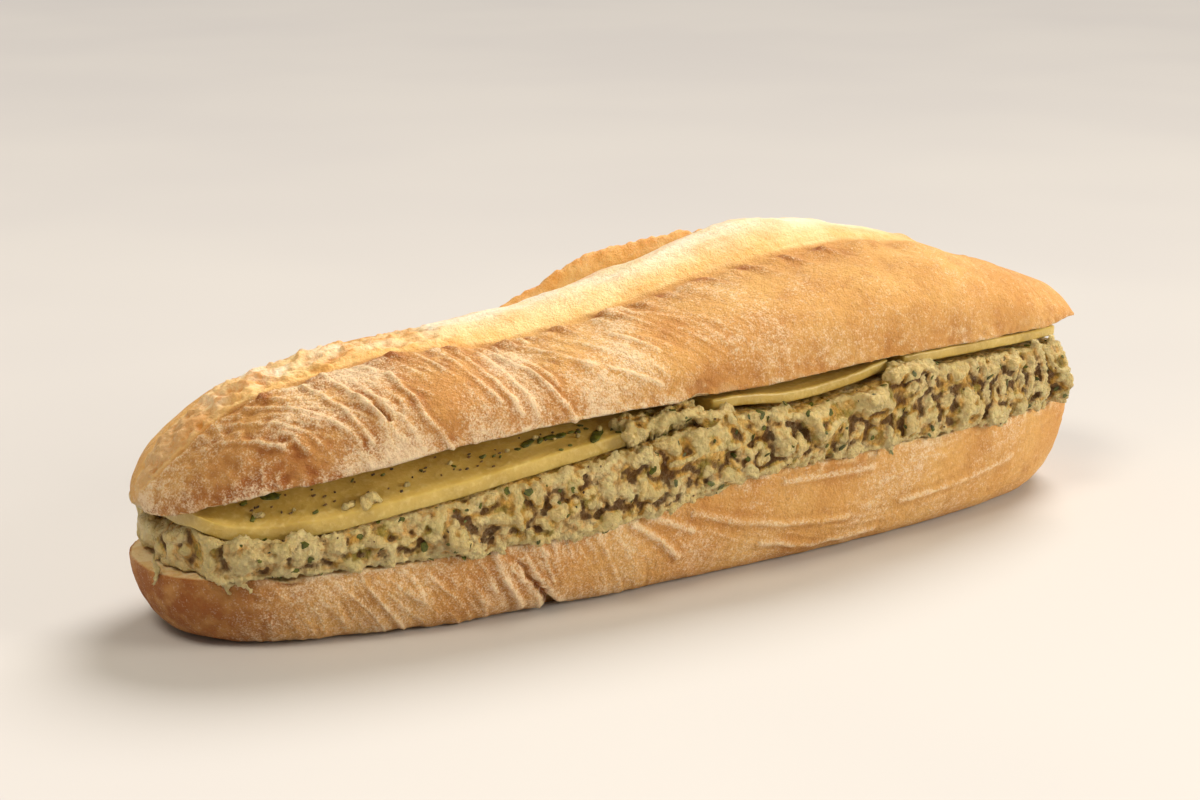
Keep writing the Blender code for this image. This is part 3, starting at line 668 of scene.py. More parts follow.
# The lower rim is a little ragged, with one torn nick left of the middle
rim_front = lid * step(-share, 0.985, 0.999) + below * step(-share, 0.95, 0.985)
rim_back = lid * step(share, 0.985, 0.999) + below * step(share, 0.95, 0.985)
torn = 0.6 * grain(flat, 2.8 * MM, 36) + 0.35 * grain(flat, 1.2 * MM, 37)
nick = bump(x, -9.5 * MM, 2.6 * MM) * rim_front
height += (rim_front + rim_back) * (0.35 * torn) - 0.8 * nick
crumb_grain = 0.22 * grain(flat, 1.9 * MM, 38) + 0.15 * grain(flat, 0.9 * MM, 39) - 0.15
height = np.where(below, np.minimum(crumb_grain, 0.1), height)
flat = flat + normal.reshape(-1, 3) * (MM * height)[:, None]
flat[:, 2] += MM * ear_edge * (0.8 * ragged - 0.2)
flat[:, 2] += MM * (0.45 * torn * rim_front + 0.7 * nick)
# The nose at the right end thins and hooks down to a point
nose_rim, nose_tall = top_cut(x, y), np.maximum(along(CROWN, x) - top_cut(x, y), 0.3 * MM)
nose_share = np.clip((flat[:, 2] - nose_rim) / nose_tall, 0, 1)
flat[:, 2] += 1.0 * MM * bump(x, 97 * MM, 5 * MM) * (1 - nose_share)
flat[:, 2] -= 0.60 * nose_tall * step(x, 101 * MM, 108 * MM) * nose_share

relief = (height.reshape(rings.shape[:2]) - evened(height.reshape(rings.shape[:2]), 12)).reshape(-1) / 0.25
crest, valley = np.clip(relief, 0, 1), np.clip(-relief, 0, 1)
lip_browned = lid * (0.50 * pucker + 0.55 * dimple + 0.12 * along_score * bump(share, LIP_AT, 0.05))
# The crease where the mound meets the lip at the left is darkened as painted shade
crease_shade = lid * along_score * bump(share, CREASE_AT + 0.01, 0.025) * 0.6 * step(-x, 84 * MM, 92 * MM)
rim_browned = 0.22 * step(-share, 0.93, 1.0) + 0.30 * step(-share, 0.72, 1.0) * step(-x, 60 * MM, 96 * MM)
dusting = front_crust * (0.46 + 0.75 * grain(flat, 10 * MM, 40)) * (0.25 + 0.75 * step(-x, -40 * MM, 30 * MM))
# The front takes more flour on the crests, partly a real dusting and partly painted highlight
dusting += front_crust * 0.40 * crest + back_crust * (0.22 + 0.3 * grain(flat, 12 * MM, 41))
browned_and_shaded = lip_browned + crease_shade + lid * rim_browned + ear_inner * 0.62 + 0.60 * ear_edge
browned_and_shaded += on_mound * (0.36 * step(dents, 0.0, 0.5) + 0.24 * strands)
# The slit and the valleys are darkened as painted shade; the front is browner towards the left
browned_and_shaded += front_crust * (0.9 * slit + 0.60 * valley + 0.30 * step(-x, 20 * MM, 75 * MM))
browned_and_shaded += front_crust * 0.22 * step(grain(flat, 6 * MM, 42), 0.15, 0.6)
# On the rough zone the bubbled crests are toasted, and the valleys are darkened as painted shade
browned_and_shaded += rough_zone * (0.42 * step(bubbled, 0.35, 1.0) + 0.5 * valley)
# At the gape the pores and the crease line are darkened as painted shade
browned_and_shaded += gape * (0.55 * valley + 0.25 * bump(share, CREASE_AT + 0.01, 0.02))
# The crown is the top of the mound, where the painted highlight goes, with less of it on the rough zone
crown = on_mound * step(share, -0.30, -0.02) * (1 - ear_inner) * (1 - gape)
crown *= 1 - 0.7 * rough_zone * step(grain(flat, 7 * MM, 55), -0.2, 0.4)
# Flour thins in the valleys, which darkens them as painted shade
masks = {
    "flour": dusting * (1 - 0.6 * np.clip(pucker, 0, 1)) - 0.3 * valley,
    "toast": browned_and_shaded,
    "gold": on_mound + ear_inner + 0.8 * ear_edge + gape,
    "crown": crown,
    "crumb": np.where(below, 1, 0.95 * gape + 0.35 * (rim_front + rim_back) * step(torn, 0, 0.5)),
}
tips = []
for tip in (TOP_RIGHT_TIP, TOP_LEFT_TIP):
    tips.append((tip, 0, float((top_cut(np.array(tip), np.array(0.0)) + along(CROWN, tip)) / 2)))
bread_top = skin("bread_top_crust", flat.reshape(rings.shape), *tips, masks, bread)
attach(bread_top, "root")
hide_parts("bread_top")


# CHEESE
# Three thin slices from a pale, semi-soft block, laid end to end on the salad. They are pressed
# under the top half, and the front of each droops over the salad and shows its cut edge.

CHEESE_THICKNESS = 2.8 * MM
DROOP_FROM = -0.45
CHEESE_FRONT_LOW = (
    (-106, 24.6), (-100, 22.0), (-88, 22.0), (-71, 24.6), (-55, 27.2), (-42, 29.2), (-31, 30.8),
    (-18, 32.8), (-8, 34.8), (0, 35.2), (13, 34.0), (25, 35.0), (40, 37.4), (90, 37.0), (100, 36.0),
)
CHEESE_SLICES = {
    "cheese_slice_left": {"ends": (-105.5, -9.0), "front": 0.975, "back": 0.80},
    "cheese_slice_middle": {"ends": (-6.5, 39.0), "front": 0.955, "back": 0.84},
    "cheese_slice_right": {"ends": (41.0, 93.5), "front": 0.955, "back": 0.82},
}


def cheese_low(x, y):
    """Underside of the cheese: pressed to the top half, drooping over the filling at the front."""
    pressed = top_cut(x, y) - GAP - CHEESE_THICKNESS
    width = plan_width(x)
    front = top_cut(x, -0.96 * width) - GAP - CHEESE_THICKNESS
    droop = np.clip(front - along(CHEESE_FRONT_LOW, x), 0, None)
    reach = np.clip((DROOP_FROM - y / np.maximum(width, 1e-6)) / (DROOP_FROM + 0.97), 0, 1.1)
    return pressed - droop * reach**1.3


cheese, tree, shader = new_material("sliced cheese", 0.38)
colour = add_mix(tree, add_mottle(tree, 0.012, 0.3, 0.7, 0, 1, 3), dye(208, 182, 102), dye(182, 154, 76))
colour = add_mix(tree, add_mottle(tree, 0.0012, 0.45, 0.80, 0, 0.35, 3), colour, dye(236, 220, 160))
tree.links.new(colour, shader.inputs["Base Color"])
let_light_in(shader, 0.45, (1.0, 0.85, 0.45), 0.0035)
tree.links.new(add_mottle(tree, 0.0012, 0.3, 0.8, 0.28, 0.46, 3), shader.inputs["Roughness"])
add_bump(tree, shader, add_mottle(tree, 0.0012, 0.25, 0.75, 0, 1, 3), 0.00014, 0.6)

for name, shape in CHEESE_SLICES.items():
    first, last = shape["ends"][0] * MM, shape["ends"][1] * MM
    bm = bmesh.new()
    bmesh.ops.create_grid(bm, x_segments=int((last - first) / (0.9 * MM)), y_segments=64, size=1)
    for vert in bm.verts:
        u, v = vert.co.x, vert.co.y
        corner = 1 - 0.045 * abs(v) ** 5
        x = (first + last) / 2 + (last - first) / 2 * u * corner
        width = float(plan_width(np.array(x)))
        y = width * (v * (shape["front"] + shape["back"]) / 2 + (shape["back"] - shape["front"]) / 2)
        wave = 0.35 * MM * noise.noise(Vector((x, y, 0.3)) / (9 * MM)) * max(0, -v) ** 2
        vert.co = (x, y + wave, float(cheese_low(np.array(x), np.array(y))))
    lower = list(bm.verts)
    raised = bmesh.ops.extrude_face_region(bm, geom=list(bm.faces))["geom"]
    raised = [part for part in raised if isinstance(part, bmesh.types.BMVert)]
    bmesh.ops.translate(bm, verts=raised, vec=(0, 0, CHEESE_THICKNESS))
    for vert in lower:
        drawn_in = -vert.co.y / max(float(plan_width(np.array(vert.co.x))), MM) - 0.80
        vert.co.z += 0.7 * MM * min(1, max(0, drawn_in / 0.16)) * (name != "cheese_slice_left")
    bmesh.ops.recalc_face_normals(bm, faces=bm.faces)
    sharp = [edge for edge in bm.edges if edge.calc_face_angle(0) > math.radians(40)]
    bmesh.ops.bevel(
        bm, geom=sharp, offset=0.55 * MM, segments=3, profile=0.6, affect="EDGES", clamp_overlap=True
    )
    for vert in bm.verts:
        vert.co.z += 0.10 * MM * noise.noise(vert.co / (3.0 * MM)) - 0.05 * MM
    mesh = bpy.data.meshes.new(name + "_soft")
    bm.to_mesh(mesh)
    bm.free()
    mesh.shade_smooth()
    mesh.materials.append(cheese)
    piece = in_scene(name + "_soft", mesh)
    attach(piece, "root")
    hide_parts(name)


# CHICKEN SALAD
# Poached chicken torn to lumps and shreds and stirred into a cream with green herbs, then heaped
# on the bottom half. It is pressed flat under the cheese and squeezes out at the front.

FILLING_ENDS = (-108.5, 97.0)
FILLING_OVERHANG = (
    (-110, -1.0), (-100, -0.8), (-66, 0.2), (-40, 1.0), (-10, 1.4), (30, 0.8), (60, 0.4), (85, -0.4),
    (100, -2.0),
)
FILLING_BACK_INSET = 1.2 * MM
# Each hollow: X in millimetres, share of the height, depth and reach in millimetres
HOLLOWS = (
    (-87, 0.45, 2.0, 3.0), (-9, 0.95, 3.5, 4.5), (18, 1.0, 2.6, 6.0), (31, 0.9, 4.0, 5.5),
    (57, 0.35, 2.4, 4.0), (78, 0.4, 2.0, 3.0),
)

salad, tree, shader = new_material("creamy chicken salad", 0.42)


def add_pebbles(tree, size):
    """Small rounded bits packed together: how far each spot is from the middle of its bit, and a tint."""
    place = tree.nodes.new("ShaderNodeTexCoord")
    stray = tree.nodes.new("ShaderNodeTexNoise")
    stray.inputs["Scale"].default_value = 0.7 / size
    shifted = tree.nodes.new("ShaderNodeVectorMath")
    shifted.operation = "MULTIPLY_ADD"
    shifted.inputs[1].default_value = (size, size, size)
    cells = tree.nodes.new("ShaderNodeTexVoronoi")
    cells.inputs["Scale"].default_value = 1 / size
    join(
        tree,
        (place, "Object", stray, "Vector"), (stray, "Color", shifted, 0), (place, "Object", shifted, 2),
        (shifted, "Vector", cells, "Vector"),
    )
    return cells.outputs["Distance"], cells.outputs["Color"]


bit_edge, bit_tint = add_pebbles(tree, 0.0015)
cream = add_mix(tree, add_mottle(tree, 0.007, 0.38, 0.62, 0, 1, 3), dye(250, 200, 106), dye(202, 152, 58))
cream = add_mix(tree, add_levels(tree, bit_tint, 0.48, 0.68, 0, 0.75), cream, dye(255, 218, 136))
cream = add_mix(tree, add_mottle(tree, 0.0034, 0.45, 0.66, 0, 0.85, 4, 0.6), cream, dye(152, 140, 56))
torn_patches = add_mottle(tree, 0.0022, 0.35, 0.70, 0, 1, 4, 0.6)
meat = add_mix(tree, torn_patches, dye(255, 234, 176), dye(240, 188, 106))
colour = add_mix(tree, add_mask(tree, "chicken"), cream, meat)
# The edges of the small bits are darkened as painted shade where they meet
colour = add_mix(tree, add_levels(tree, bit_edge, 0.42, 0.85, 0, 0.55), colour, dye(132, 88, 26))
# The recess mask paints shade into the salad's hollows and a painted highlight onto its raised lumps
recess = add_mask(tree, "recess")
colour = add_mix(tree, add_levels(tree, recess, 0.56, 0.88, 0, 0.86), colour, dye(88, 48, 2))
colour = add_mix(tree, add_levels(tree, recess, 0.47, 0.18, 0, 0.65), colour, dye(255, 238, 176))
colour = add_mix(tree, add_mottle(tree, 0.0006, 0.62, 0.80, 0, 0.35, 3, 0.6), colour, dye(112, 92, 24))
tree.links.new(colour, shader.inputs["Base Color"])
tree.links.new(add_mottle(tree, 0.0022, 0.3, 0.8, 0.26, 0.52), shader.inputs["Roughness"])
let_light_in(shader, 0.12, (1.0, 0.7, 0.35), 0.0012)
wet = add_levels(tree, bit_edge, 0.0, 0.85, 1.0, 0.0)
wet = add_math(tree, "ADD", wet, add_mottle(tree, 0.0007, 0.25, 0.75, 0, 0.7, 4, 0.65))
add_bump(tree, shader, wet, 0.0010, 1.0)


def filling_sides(x):
    """Front and back reach of the filling at x."""
    width = plan_width(x)
    return -(width + along(FILLING_OVERHANG, x)), width - FILLING_BACK_INSET


def filling_top(x, y):
    """Highest the filling reaches, a little clear of the cheese."""
    return cheese_low(x, y) - 1.2 * GAP


def filling_floor(x, y):
    """Lowest the filling reaches, on the cut face of the bottom half."""
    return bottom_cut(x, y) + 0.6 * GAP


def hollow_depth(x, share):
    """How far the front of the filling is sunk at x and this share of its height."""
    depth = 0
    for centre, level, deep, reach in HOLLOWS:
        depth += deep * MM * math.exp(-(((x / MM - centre) / reach) ** 2) - ((share - level) / 0.28) ** 2)
    return depth


def ball(rounds):
    """Points and faces of a ball of the given fineness."""
    bm = bmesh.new()
    bmesh.ops.create_icosphere(bm, subdivisions=rounds, radius=1)
    points = np.array([vert.co[:] for vert in bm.verts])
    faces = np.array([[vert.index for vert in face.verts] for face in bm.faces])
    bm.free()
    return points, faces


def lump(place, size, draw, ball_shape, torn=0.40):
    """A torn lump: a ball pushed out of round and turned at random."""
    points, faces = ball_shape
    swell = 1 + torn * grain(points + draw.uniform(0, 50, 3), 0.75)
    turned = np.array(Matrix.Rotation(draw.uniform(0, 6.28), 3, Vector(draw.normal(size=3)).normalized()))
    return (points * swell[:, None] * size) @ turned.T + place, faces


def strand(start, heading, length, thickness, draw, sides=6, parts=9):
    """A shred of meat: a thin tube that bends a little and tapers at both ends."""
    t = np.linspace(0, 1, parts)
    heading = heading / np.linalg.norm(heading)
    sideways = np.cross(heading, draw.normal(size=3))
    sideways /= np.linalg.norm(sideways)
    other = np.cross(heading, sideways)
    sway = draw.uniform(-0.35, 0.35) * length
    line = start + np.outer((t - 0.5) * length, heading) + np.outer(sway * (t - 0.5) ** 2, sideways)
    line += 0.06 * length * np.outer(np.sin(t * draw.uniform(4, 9) + draw.uniform(0, 6)), other)
    thick = thickness / 2 * (0.35 + 0.65 * np.sin(math.pi * np.clip(t, 0.04, 0.96)) ** 0.5)
    angles = np.linspace(0, 2 * math.pi, sides, endpoint=False)
    ring = np.outer(np.cos(angles), sideways) + np.outer(np.sin(angles), other)
    points = (line[:, None, :] + thick[:, None, None] * ring[None]).reshape(-1, 3)
    points = np.vstack([points, line[0], line[-1]])
    faces = []
    for i in range(parts - 1):
        for j in range(sides):
            k = (j + 1) % sides
            a, b, c, d = i * sides + j, i * sides + k, (i + 1) * sides + k, (i + 1) * sides + j
            faces += [(a, b, c), (a, c, d)]
    for j in range(sides):
        k = (j + 1) % sides
        last = (parts - 1) * sides
        faces += [(parts * sides, k, j), (parts * sides + 1, last + j, last + k)]
    return points, np.array(faces)


def merged(shapes):
    """Several shapes as one list of points and faces."""
    starts = np.cumsum([0] + [len(points) for points, faces in shapes])
    points = np.vstack([points for points, faces in shapes])
    return points, np.vstack([faces + start for (own_points, faces), start in zip(shapes, starts)])


def relaxed(points, edges, rounds):
    """The points after each has moved to the middle of its neighbours, several times over."""
    count = np.bincount(edges.ravel(), minlength=len(points))[:, None]
    for turn_round in range(rounds):
        total = np.stack(
            [
                np.bincount(edges[:, 0], points[edges[:, 1], axis], len(points))
                + np.bincount(edges[:, 1], points[edges[:, 0], axis], len(points))
                for axis in range(3)
            ],
            -1,
        )
        points = total / count
    return points


def pressed(points, hanging=False):
    """Keeps the salad between the bread below and the cheese above; only loose shreds hang past the rim."""
    x, y, z = points.T
    width = plan_width(x)
    past_rim = np.clip((np.abs(y) - width) / (1.6 * MM), 0, 1)
    low = filling_floor(x, np.clip(y, -width, width)) - 2.4 * MM * past_rim
    low = np.where(past_rim * hanging > 0.15, -1, low)
    slot_ends = np.array([shape["ends"] for shape in CHEESE_SLICES.values()]) * MM
    covered = ((x[:, None] > slot_ends[:, 0] - MM) & (x[:, None] < slot_ends[:, 1] + MM)).any(1)
    covered &= y > -0.985 * width - 0.2 * MM
    high = np.where(covered, filling_top(x, y), top_cut(x, y) - 0.3 * MM)
    over_rim = np.maximum(high, filling_top(x, y) + 2.0 * MM)
    high = np.where(np.abs(y) < width + 1.2 * MM, high, over_rim)
    return np.stack([x, y, np.minimum(np.maximum(z, low), high)], -1)


def spread_on_slice(points):
    """Keeps a smear between the top of the cheese and the bread above it."""
    x, y, z = points.T
    over = y > -0.97 * plan_width(x)
    low = np.where(over, cheese_low(x, y) + 0.8 * CHEESE_THICKNESS, filling_floor(x, y))
    high = np.where(y > -plan_width(x) - 0.4 * MM, top_cut(x, y) - 0.35 * MM, 1)
    return np.stack([x, y, np.minimum(np.maximum(z, low), high)], -1)


draw = np.random.default_rng(12)
small_ball = ball(2)
balls = {2: small_ball, 3: ball(3)}


def swelling(place, side):
    """How far the face of the heap swells out here, in metres, between the crevices that part its clumps."""
    spot = Vector((place[0] / (8 * MM), place[1] / (14 * MM), place[2] / (6 * MM) + 9 * side))
    crevice = math.exp(-((noise.noise(spot * 0.8 + Vector((5, 3, 1))) / 0.07) ** 2))
    tuck = 3.0 * float(step(-place[0], 94 * MM, 106 * MM)) + 4.2 * float(step(place[0], 82 * MM, 95 * MM))
    return (2.9 * noise.noise(spot) + 1.3 * noise.noise(spot * 2.3) - 1.2 * crevice - tuck) * MM


edge_rings = []
for place in np.linspace(FILLING_ENDS[0] * MM + 4 * MM, FILLING_ENDS[1] * MM - 3.6 * MM, 240)[1:-1]:
    place = np.array(place)
    front_edge, back_edge = filling_sides(place)
    ring = []
    for side_edge, levels in ((front_edge, np.linspace(0, 1, 13)), (back_edge, np.linspace(1, 0, 11))):
        for level in levels:
            bulge = math.sin(math.pi * (0.06 + 0.88 * level)) ** 0.7
            y = float(side_edge) * (0.95 + 0.05 * bulge)
            low, high = float(filling_floor(place, np.array(y))), float(filling_top(place, np.array(y)))
            z = low + (high - low) * level
            sunk = hollow_depth(float(place), level) if side_edge < 0 else 0
            out = swelling((float(place), y, z), side_edge > 0) - 0.35 * MM - sunk
            ring.append((float(place), y + math.copysign(out, side_edge), z))
        for share in np.linspace(0.85, -0.85, 7) if side_edge < 0 else np.linspace(-0.85, 0.85, 7):
            y = float(front_edge) * max(share, 0) + float(back_edge) * max(-share, 0)
            surface = filling_top if side_edge < 0 else filling_floor
            ring.append((float(place), y, float(surface(place, np.array(y)))))
    edge_rings.append(ring)
edge_rings = np.array(edge_rings)[::-1]
core_tips = []
for tip in (FILLING_ENDS[1] - 3.6, FILLING_ENDS[0] + 4):
    tip = np.array(tip * MM)
    core_tips.append((float(tip), 0.0, float(filling_floor(tip, 0 * tip) + filling_top(tip, 0 * tip)) / 2))
core = skin("salad_core", edge_rings, *core_tips, {}, salad)
core.data.calc_loop_triangles()
core_points = np.array([vert.co[:] for vert in core.data.vertices])
core_faces = np.array([triangle.vertices[:] for triangle in core.data.loop_triangles])
bpy.data.objects.remove(core)


def heap_outline(side):
    """The outline of the heap from the left tip to the right end, with the way out of it."""
    x = np.linspace(*FILLING_ENDS, 2000) * MM
    y = filling_sides(x)[side]
    x = np.concatenate([np.full(80, x[0]), x, np.full(160, x[-1])])
    y = np.concatenate([np.linspace(0, y[0], 80), y, np.linspace(y[-1], 0, 160)])
    length = np.concatenate([[0], np.cumsum(np.hypot(np.diff(x), np.diff(y)))])
    apart = length + 1e-9 * np.arange(len(x))
    turned = 1 if side == 0 else -1
    out_x, out_y = turned * np.gradient(y, apart), -turned * np.gradient(x, apart)
    return x, y, length, evened(out_x[:, None], 40)[:, 0], evened(out_y[:, None], 40)[:, 0]


outlines = [heap_outline(side) for side in (0, 1)]


def place_on(side, way, level, out):
    """A place on the front or back face of the heap, this share of the way along, this far out."""
    x, y, length, out_x, out_y = outlines[side]
    gone = way * length[-1]
    x, y, out_x, out_y = (float(np.interp(gone, length, values)) for values in (x, y, out_x, out_y))
    sunk = hollow_depth(x, level) if side == 0 else 0
    low = float(filling_floor(np.array(x), np.array(y)))
    high = float(filling_top(np.array(x), np.array(0.97 * y)))
    z = low + (high - low) * level
    out = (out - sunk + swelling((x, y, z), side)) / max(math.hypot(out_x, out_y), 1e-6)
    return np.array((x + out_x * out, y + out_y * out, z))


def read_rows(items, label, width, kind=float):
    """What each point, normal or edge of a mesh holds under this label, one row for each."""
    values = np.empty(len(items) * width, kind)
    items.foreach_get(label, values)
    return values.reshape(-1, width)


def reach_over_middle(x):
    """How far over the middle line the other half hides this one; below 0 where the ends overlap."""
    return 10 * MM * max(-0.09, 1 - (abs(x + 6 * MM) / (99 * MM)) ** 4)


CELL_SIZES = (0.44 * MM, 0.60 * MM)
for side, side_name in ((0, "front"), (1, "back")):
    creamy = []
    meaty = []
    smeared = []
    shreds = []
    plenty = 1.0 if side == 0 else 0.75
    for number, smallest, largest, deepest, highest, rounds in (
        (2300, 0.5, 1.0, -0.6, 0.2, 2), (900, 1.0, 1.7, -0.75, -0.10, 2), (170, 1.7, 2.7, -0.55, 0.05, 3),
    ):
        for i in range(int(number * plenty)):
            way, level = draw.uniform(0, 1), draw.uniform(-0.02, 1.0)
            level = 0.5 + (level - 0.5) * (1 - 0.12 * smallest)
            size = draw.uniform(smallest, largest) * MM
            out = size * draw.uniform(deepest, highest)
            stretch = np.array((draw.uniform(1, 1.6), 0.85, draw.uniform(0.8, 1.2)))
            pile = meaty if largest > 1.5 and draw.uniform() < 0.30 else creamy
            pile.append(lump(place_on(side, way, level, out), size * stretch, draw, balls[rounds]))
    for i in range(int(120 * plenty)):
        way, level = draw.uniform(0, 1), draw.uniform(0.08, 0.88)
        centre = place_on(side, way, level, draw.uniform(-0.6, 0.1) * MM)
        onward = place_on(side, way + 0.004, level, 0) - place_on(side, way - 0.004, level, 0)
        heading = onward / np.linalg.norm(onward) * draw.normal() + np.array((0, 0, 0.8 * draw.normal()))
        for part in range(draw.integers(3, 7)):
            nudge = draw.normal(size=3) * (0.6 * MM, 0.3 * MM, 0.6 * MM)
            leaning = heading + 0.12 * draw.normal(size=3)
            long, thick = draw.uniform(3.0, 6.5) * MM, draw.uniform(0.7, 1.3) * MM
            meaty.append(strand(centre + nudge, leaning, long, thick, draw))
    if side == 0:
        # The big pale piece near the left end, and loose shreds that hang over the rim
        for place, size in (((-96.6, -19.4, 18.6), (5.4, 3.2, 3.8)), ((-92.0, -21.8, 17.8), (3.0, 2.4, 2.6))):
            meaty.append(lump(np.array(place) * MM, np.array(size) * MM, draw, balls[3], 0.22))
        for x, y, z, dx, dy, dz, length, thick in (
            (-101.4, -17.6, 15.4, 0.25, -0.25, -1, 7.5, 1.2), (-99.0, -19.2, 15.6, 0.55, -0.35, -1, 7.5, 1.3),
            (-100.2, -18.4, 14.2, 0.9, -0.1, -0.3, 4.5, 1.0), (-109.6, -7.4, 15.4, -0.05, -0.1, -1, 6.0, 1.2),
            (69, -29.8, 30, 0.05, 0, -1, 11, 2.0), (64.2, -30.8, 30.8, 0.12, 0, -1, 8, 1.8),
            (73, -28.8, 30.5, -0.15, 0, -1, 9, 1.6), (83.5, -26.8, 31.5, 0.25, 0, -1, 13, 2.4),
            (88.5, -24.0, 31, 0.18, 0, -1, 12, 2.2), (79.5, -27.9, 30, -0.1, 0, -1, 9, 2.0),
            (-53, -32.6, 17.6, 0.2, 0, -1, 5, 2.0), (-32, -34.2, 19.6, -0.2, 0, -1, 5, 2.0),
            (-21, -34.6, 20, 0.1, 0, -1, 6, 2.0), (36, -34.8, 24.5, 0.1, 0, -1, 6, 1.8),
        ):
            start = np.array((x, y, z)) * MM
            shreds.append(strand(start, np.array((dx, dy, dz)), length * MM, thick * MM, draw, 8, 12))
        # Salad squeezed up over the ends of the slices, and bits dropped on the long one
        for first, last, near, far, number in (
            (-26.0, -9.5, 28.5, 34.8, 80), (-9.5, -3.0, 33.2, 35.6, 22), (35.5, 46.5, 32.4, 34.8, 46),
        ):
            for i in range(number):
                x = draw.uniform(first, last) * MM
                y = -draw.uniform(near, far) * MM
                lifted = draw.uniform(-0.8, 0.3) if last < -9 else draw.uniform(-3.6, -1.8)
                z = float(cheese_low(np.array(x), np.array(y))) + CHEESE_THICKNESS + lifted * MM
                size = draw.uniform(0.7, 1.8) * MM * np.array((1.2, 1, 0.7))
                smeared.append(lump(np.array((x, y, z)), size, draw, small_ball))
        for x, y, size in (
            (-75.2, -25.0, 1.7), (-76.4, -25.8, 1.2), (-74.2, -25.6, 1.1), (-78.9, -24.1, 1.1),
            (-80.0, -24.4, 0.8), (-93.6, -18.2, 0.9), (-94.6, -17.6, 0.7), (-58.6, -24.4, 0.7),
            (-47.6, -26.4, 0.7), (-41.0, -25.4, 0.8), (-38.0, -27.4, 0.6), (-29.0, -28.6, 0.8),
            (-33.6, -28.8, 0.6), (-88.0, -20.2, 0.6), (-68.0, -25.4, 0.6),
        ):
            place = np.array((x, y, 0)) * MM
            place[2] = float(cheese_low(place[0], place[1])) + CHEESE_THICKNESS + 0.25 * size * MM
            smeared.append(lump(place, size * MM * np.array((1.1, 0.9, 0.6)), draw, small_ball))
    meat_points, meat_faces = merged(meaty)
    cream_points, cream_faces = merged(creamy)
    meat_points = pressed(meat_points)
    cream_points = pressed(cream_points)
    if shreds:
        shred_points, shred_faces = merged(shreds)
        meat_faces = np.vstack([meat_faces, shred_faces + len(meat_points)])
        meat_points = np.vstack([meat_points, pressed(shred_points, hanging=True)])
    parts = [(core_points, core_faces), (meat_points, meat_faces), (cream_points, cream_faces)]
    if smeared:
        smear_points, smear_faces = merged(smeared)
        parts.append((spread_on_slice(smear_points), smear_faces))
    points, faces = merged(parts)
    heap = in_scene("heap", new_mesh("heap", points, faces.tolist()))
    melt = heap.modifiers.new("melt together", "REMESH")
    melt.mode = "VOXEL"
    melt.voxel_size = CELL_SIZES[side]
    bpy.context.view_layer.update()
    soft = bpy.data.meshes.new_from_object(heap.evaluated_get(bpy.context.evaluated_depsgraph_get()))
    bpy.data.objects.remove(heap)

    # Only this half of the heap is kept, cut where the next piece hides it
    bm = bmesh.new()
    bm.from_mesh(soft)
    keep = -1 if side == 0 else 1
    hidden = [vert for vert in bm.verts if vert.co.y * keep < reach_over_middle(vert.co.x)]
    bmesh.ops.delete(bm, geom=hidden, context="VERTS")
    bmesh.ops.holes_fill(bm, edges=[edge for edge in bm.edges if edge.is_boundary], sides=0)
    bmesh.ops.triangulate(bm, faces=[face for face in bm.faces if len(face.verts) > 4])
    bm.to_mesh(soft)
    bm.free()

    points = read_rows(soft.vertices, "co", 3)
    normals = read_rows(soft.vertex_normals, "vector", 3)
    edges = read_rows(soft.edges, "vertices", 2, int)
    tree_of_meat = kdtree.KDTree(len(meat_points))
    for i, place in enumerate(meat_points.tolist()):
        tree_of_meat.insert(place, i)
    tree_of_meat.balance()
    far = np.array([tree_of_meat.find(place)[2] for place in points.tolist()])
    smooth = relaxed(points, edges, 12)
    smoother = relaxed(smooth, edges, 26)
    sunk = np.einsum("ij,ij->i", 0.6 * (smooth - points) + 0.7 * (smoother - points), normals)
    outside = np.abs(points[:, 1]) > 0.86 * plan_width(points[:, 0])
    lumpy = 0.6 * np.abs(grain(points, 2.4 * MM, 50)) + 0.8 * np.abs(grain(points, 1.3 * MM, 51)) - 0.30
    turned_by = 3 * grain(points, 9 * MM, 56)
    over_fibres = points[:, 0] * np.cos(turned_by) + points[:, 2] * np.sin(turned_by)
    fibres = folds(over_fibres, 0 * far, 1.1 * MM, 9 * MM, 57, 2)
    meat_share = 1 - step(far, 0.35 * MM, 0.95 * MM)
    rough = 0.80 * lumpy * (1 - 0.5 * meat_share) + 0.45 * (fibres - 0.5) * meat_share
    rough += 0.22 * grain(points, 0.8 * MM, 52)
    points = points + normals * (rough * MM * outside)[:, None]
    on_slice = points[:, 2] > cheese_low(points[:, 0], points[:, 1]) + 0.5 * CHEESE_THICKNESS
    points = np.where(on_slice[:, None], spread_on_slice(points), pressed(points, hanging=True))
    soft.vertices.foreach_set("co", points.ravel())
    # The recess mask, for painted shade and highlight, is how far each point sits below its smoothed
    # neighbours
    for mask, values in (
        ("chicken", meat_share),
        ("recess", np.clip(0.5 + (sunk / MM - 0.35 * rough * outside) / 0.9, 0, 1)),
        ("shown", outside.astype(float)),
    ):
        store_mask(soft, mask, values)
    soft.shade_smooth()
    soft.name = "salad_" + side_name
    soft.materials.clear()
    soft.materials.append(salad)
    piece = in_scene("salad_" + side_name, soft)
    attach(piece, "root")
    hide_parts("filling")


# HERBS, PEPPER AND CRUMBS
# Chopped green herb and cracked pepper from the salad stick to it and to the cheese, and crumbs
# from the cut roll lie on the rims. Each kind is sown over the surface that carries it.

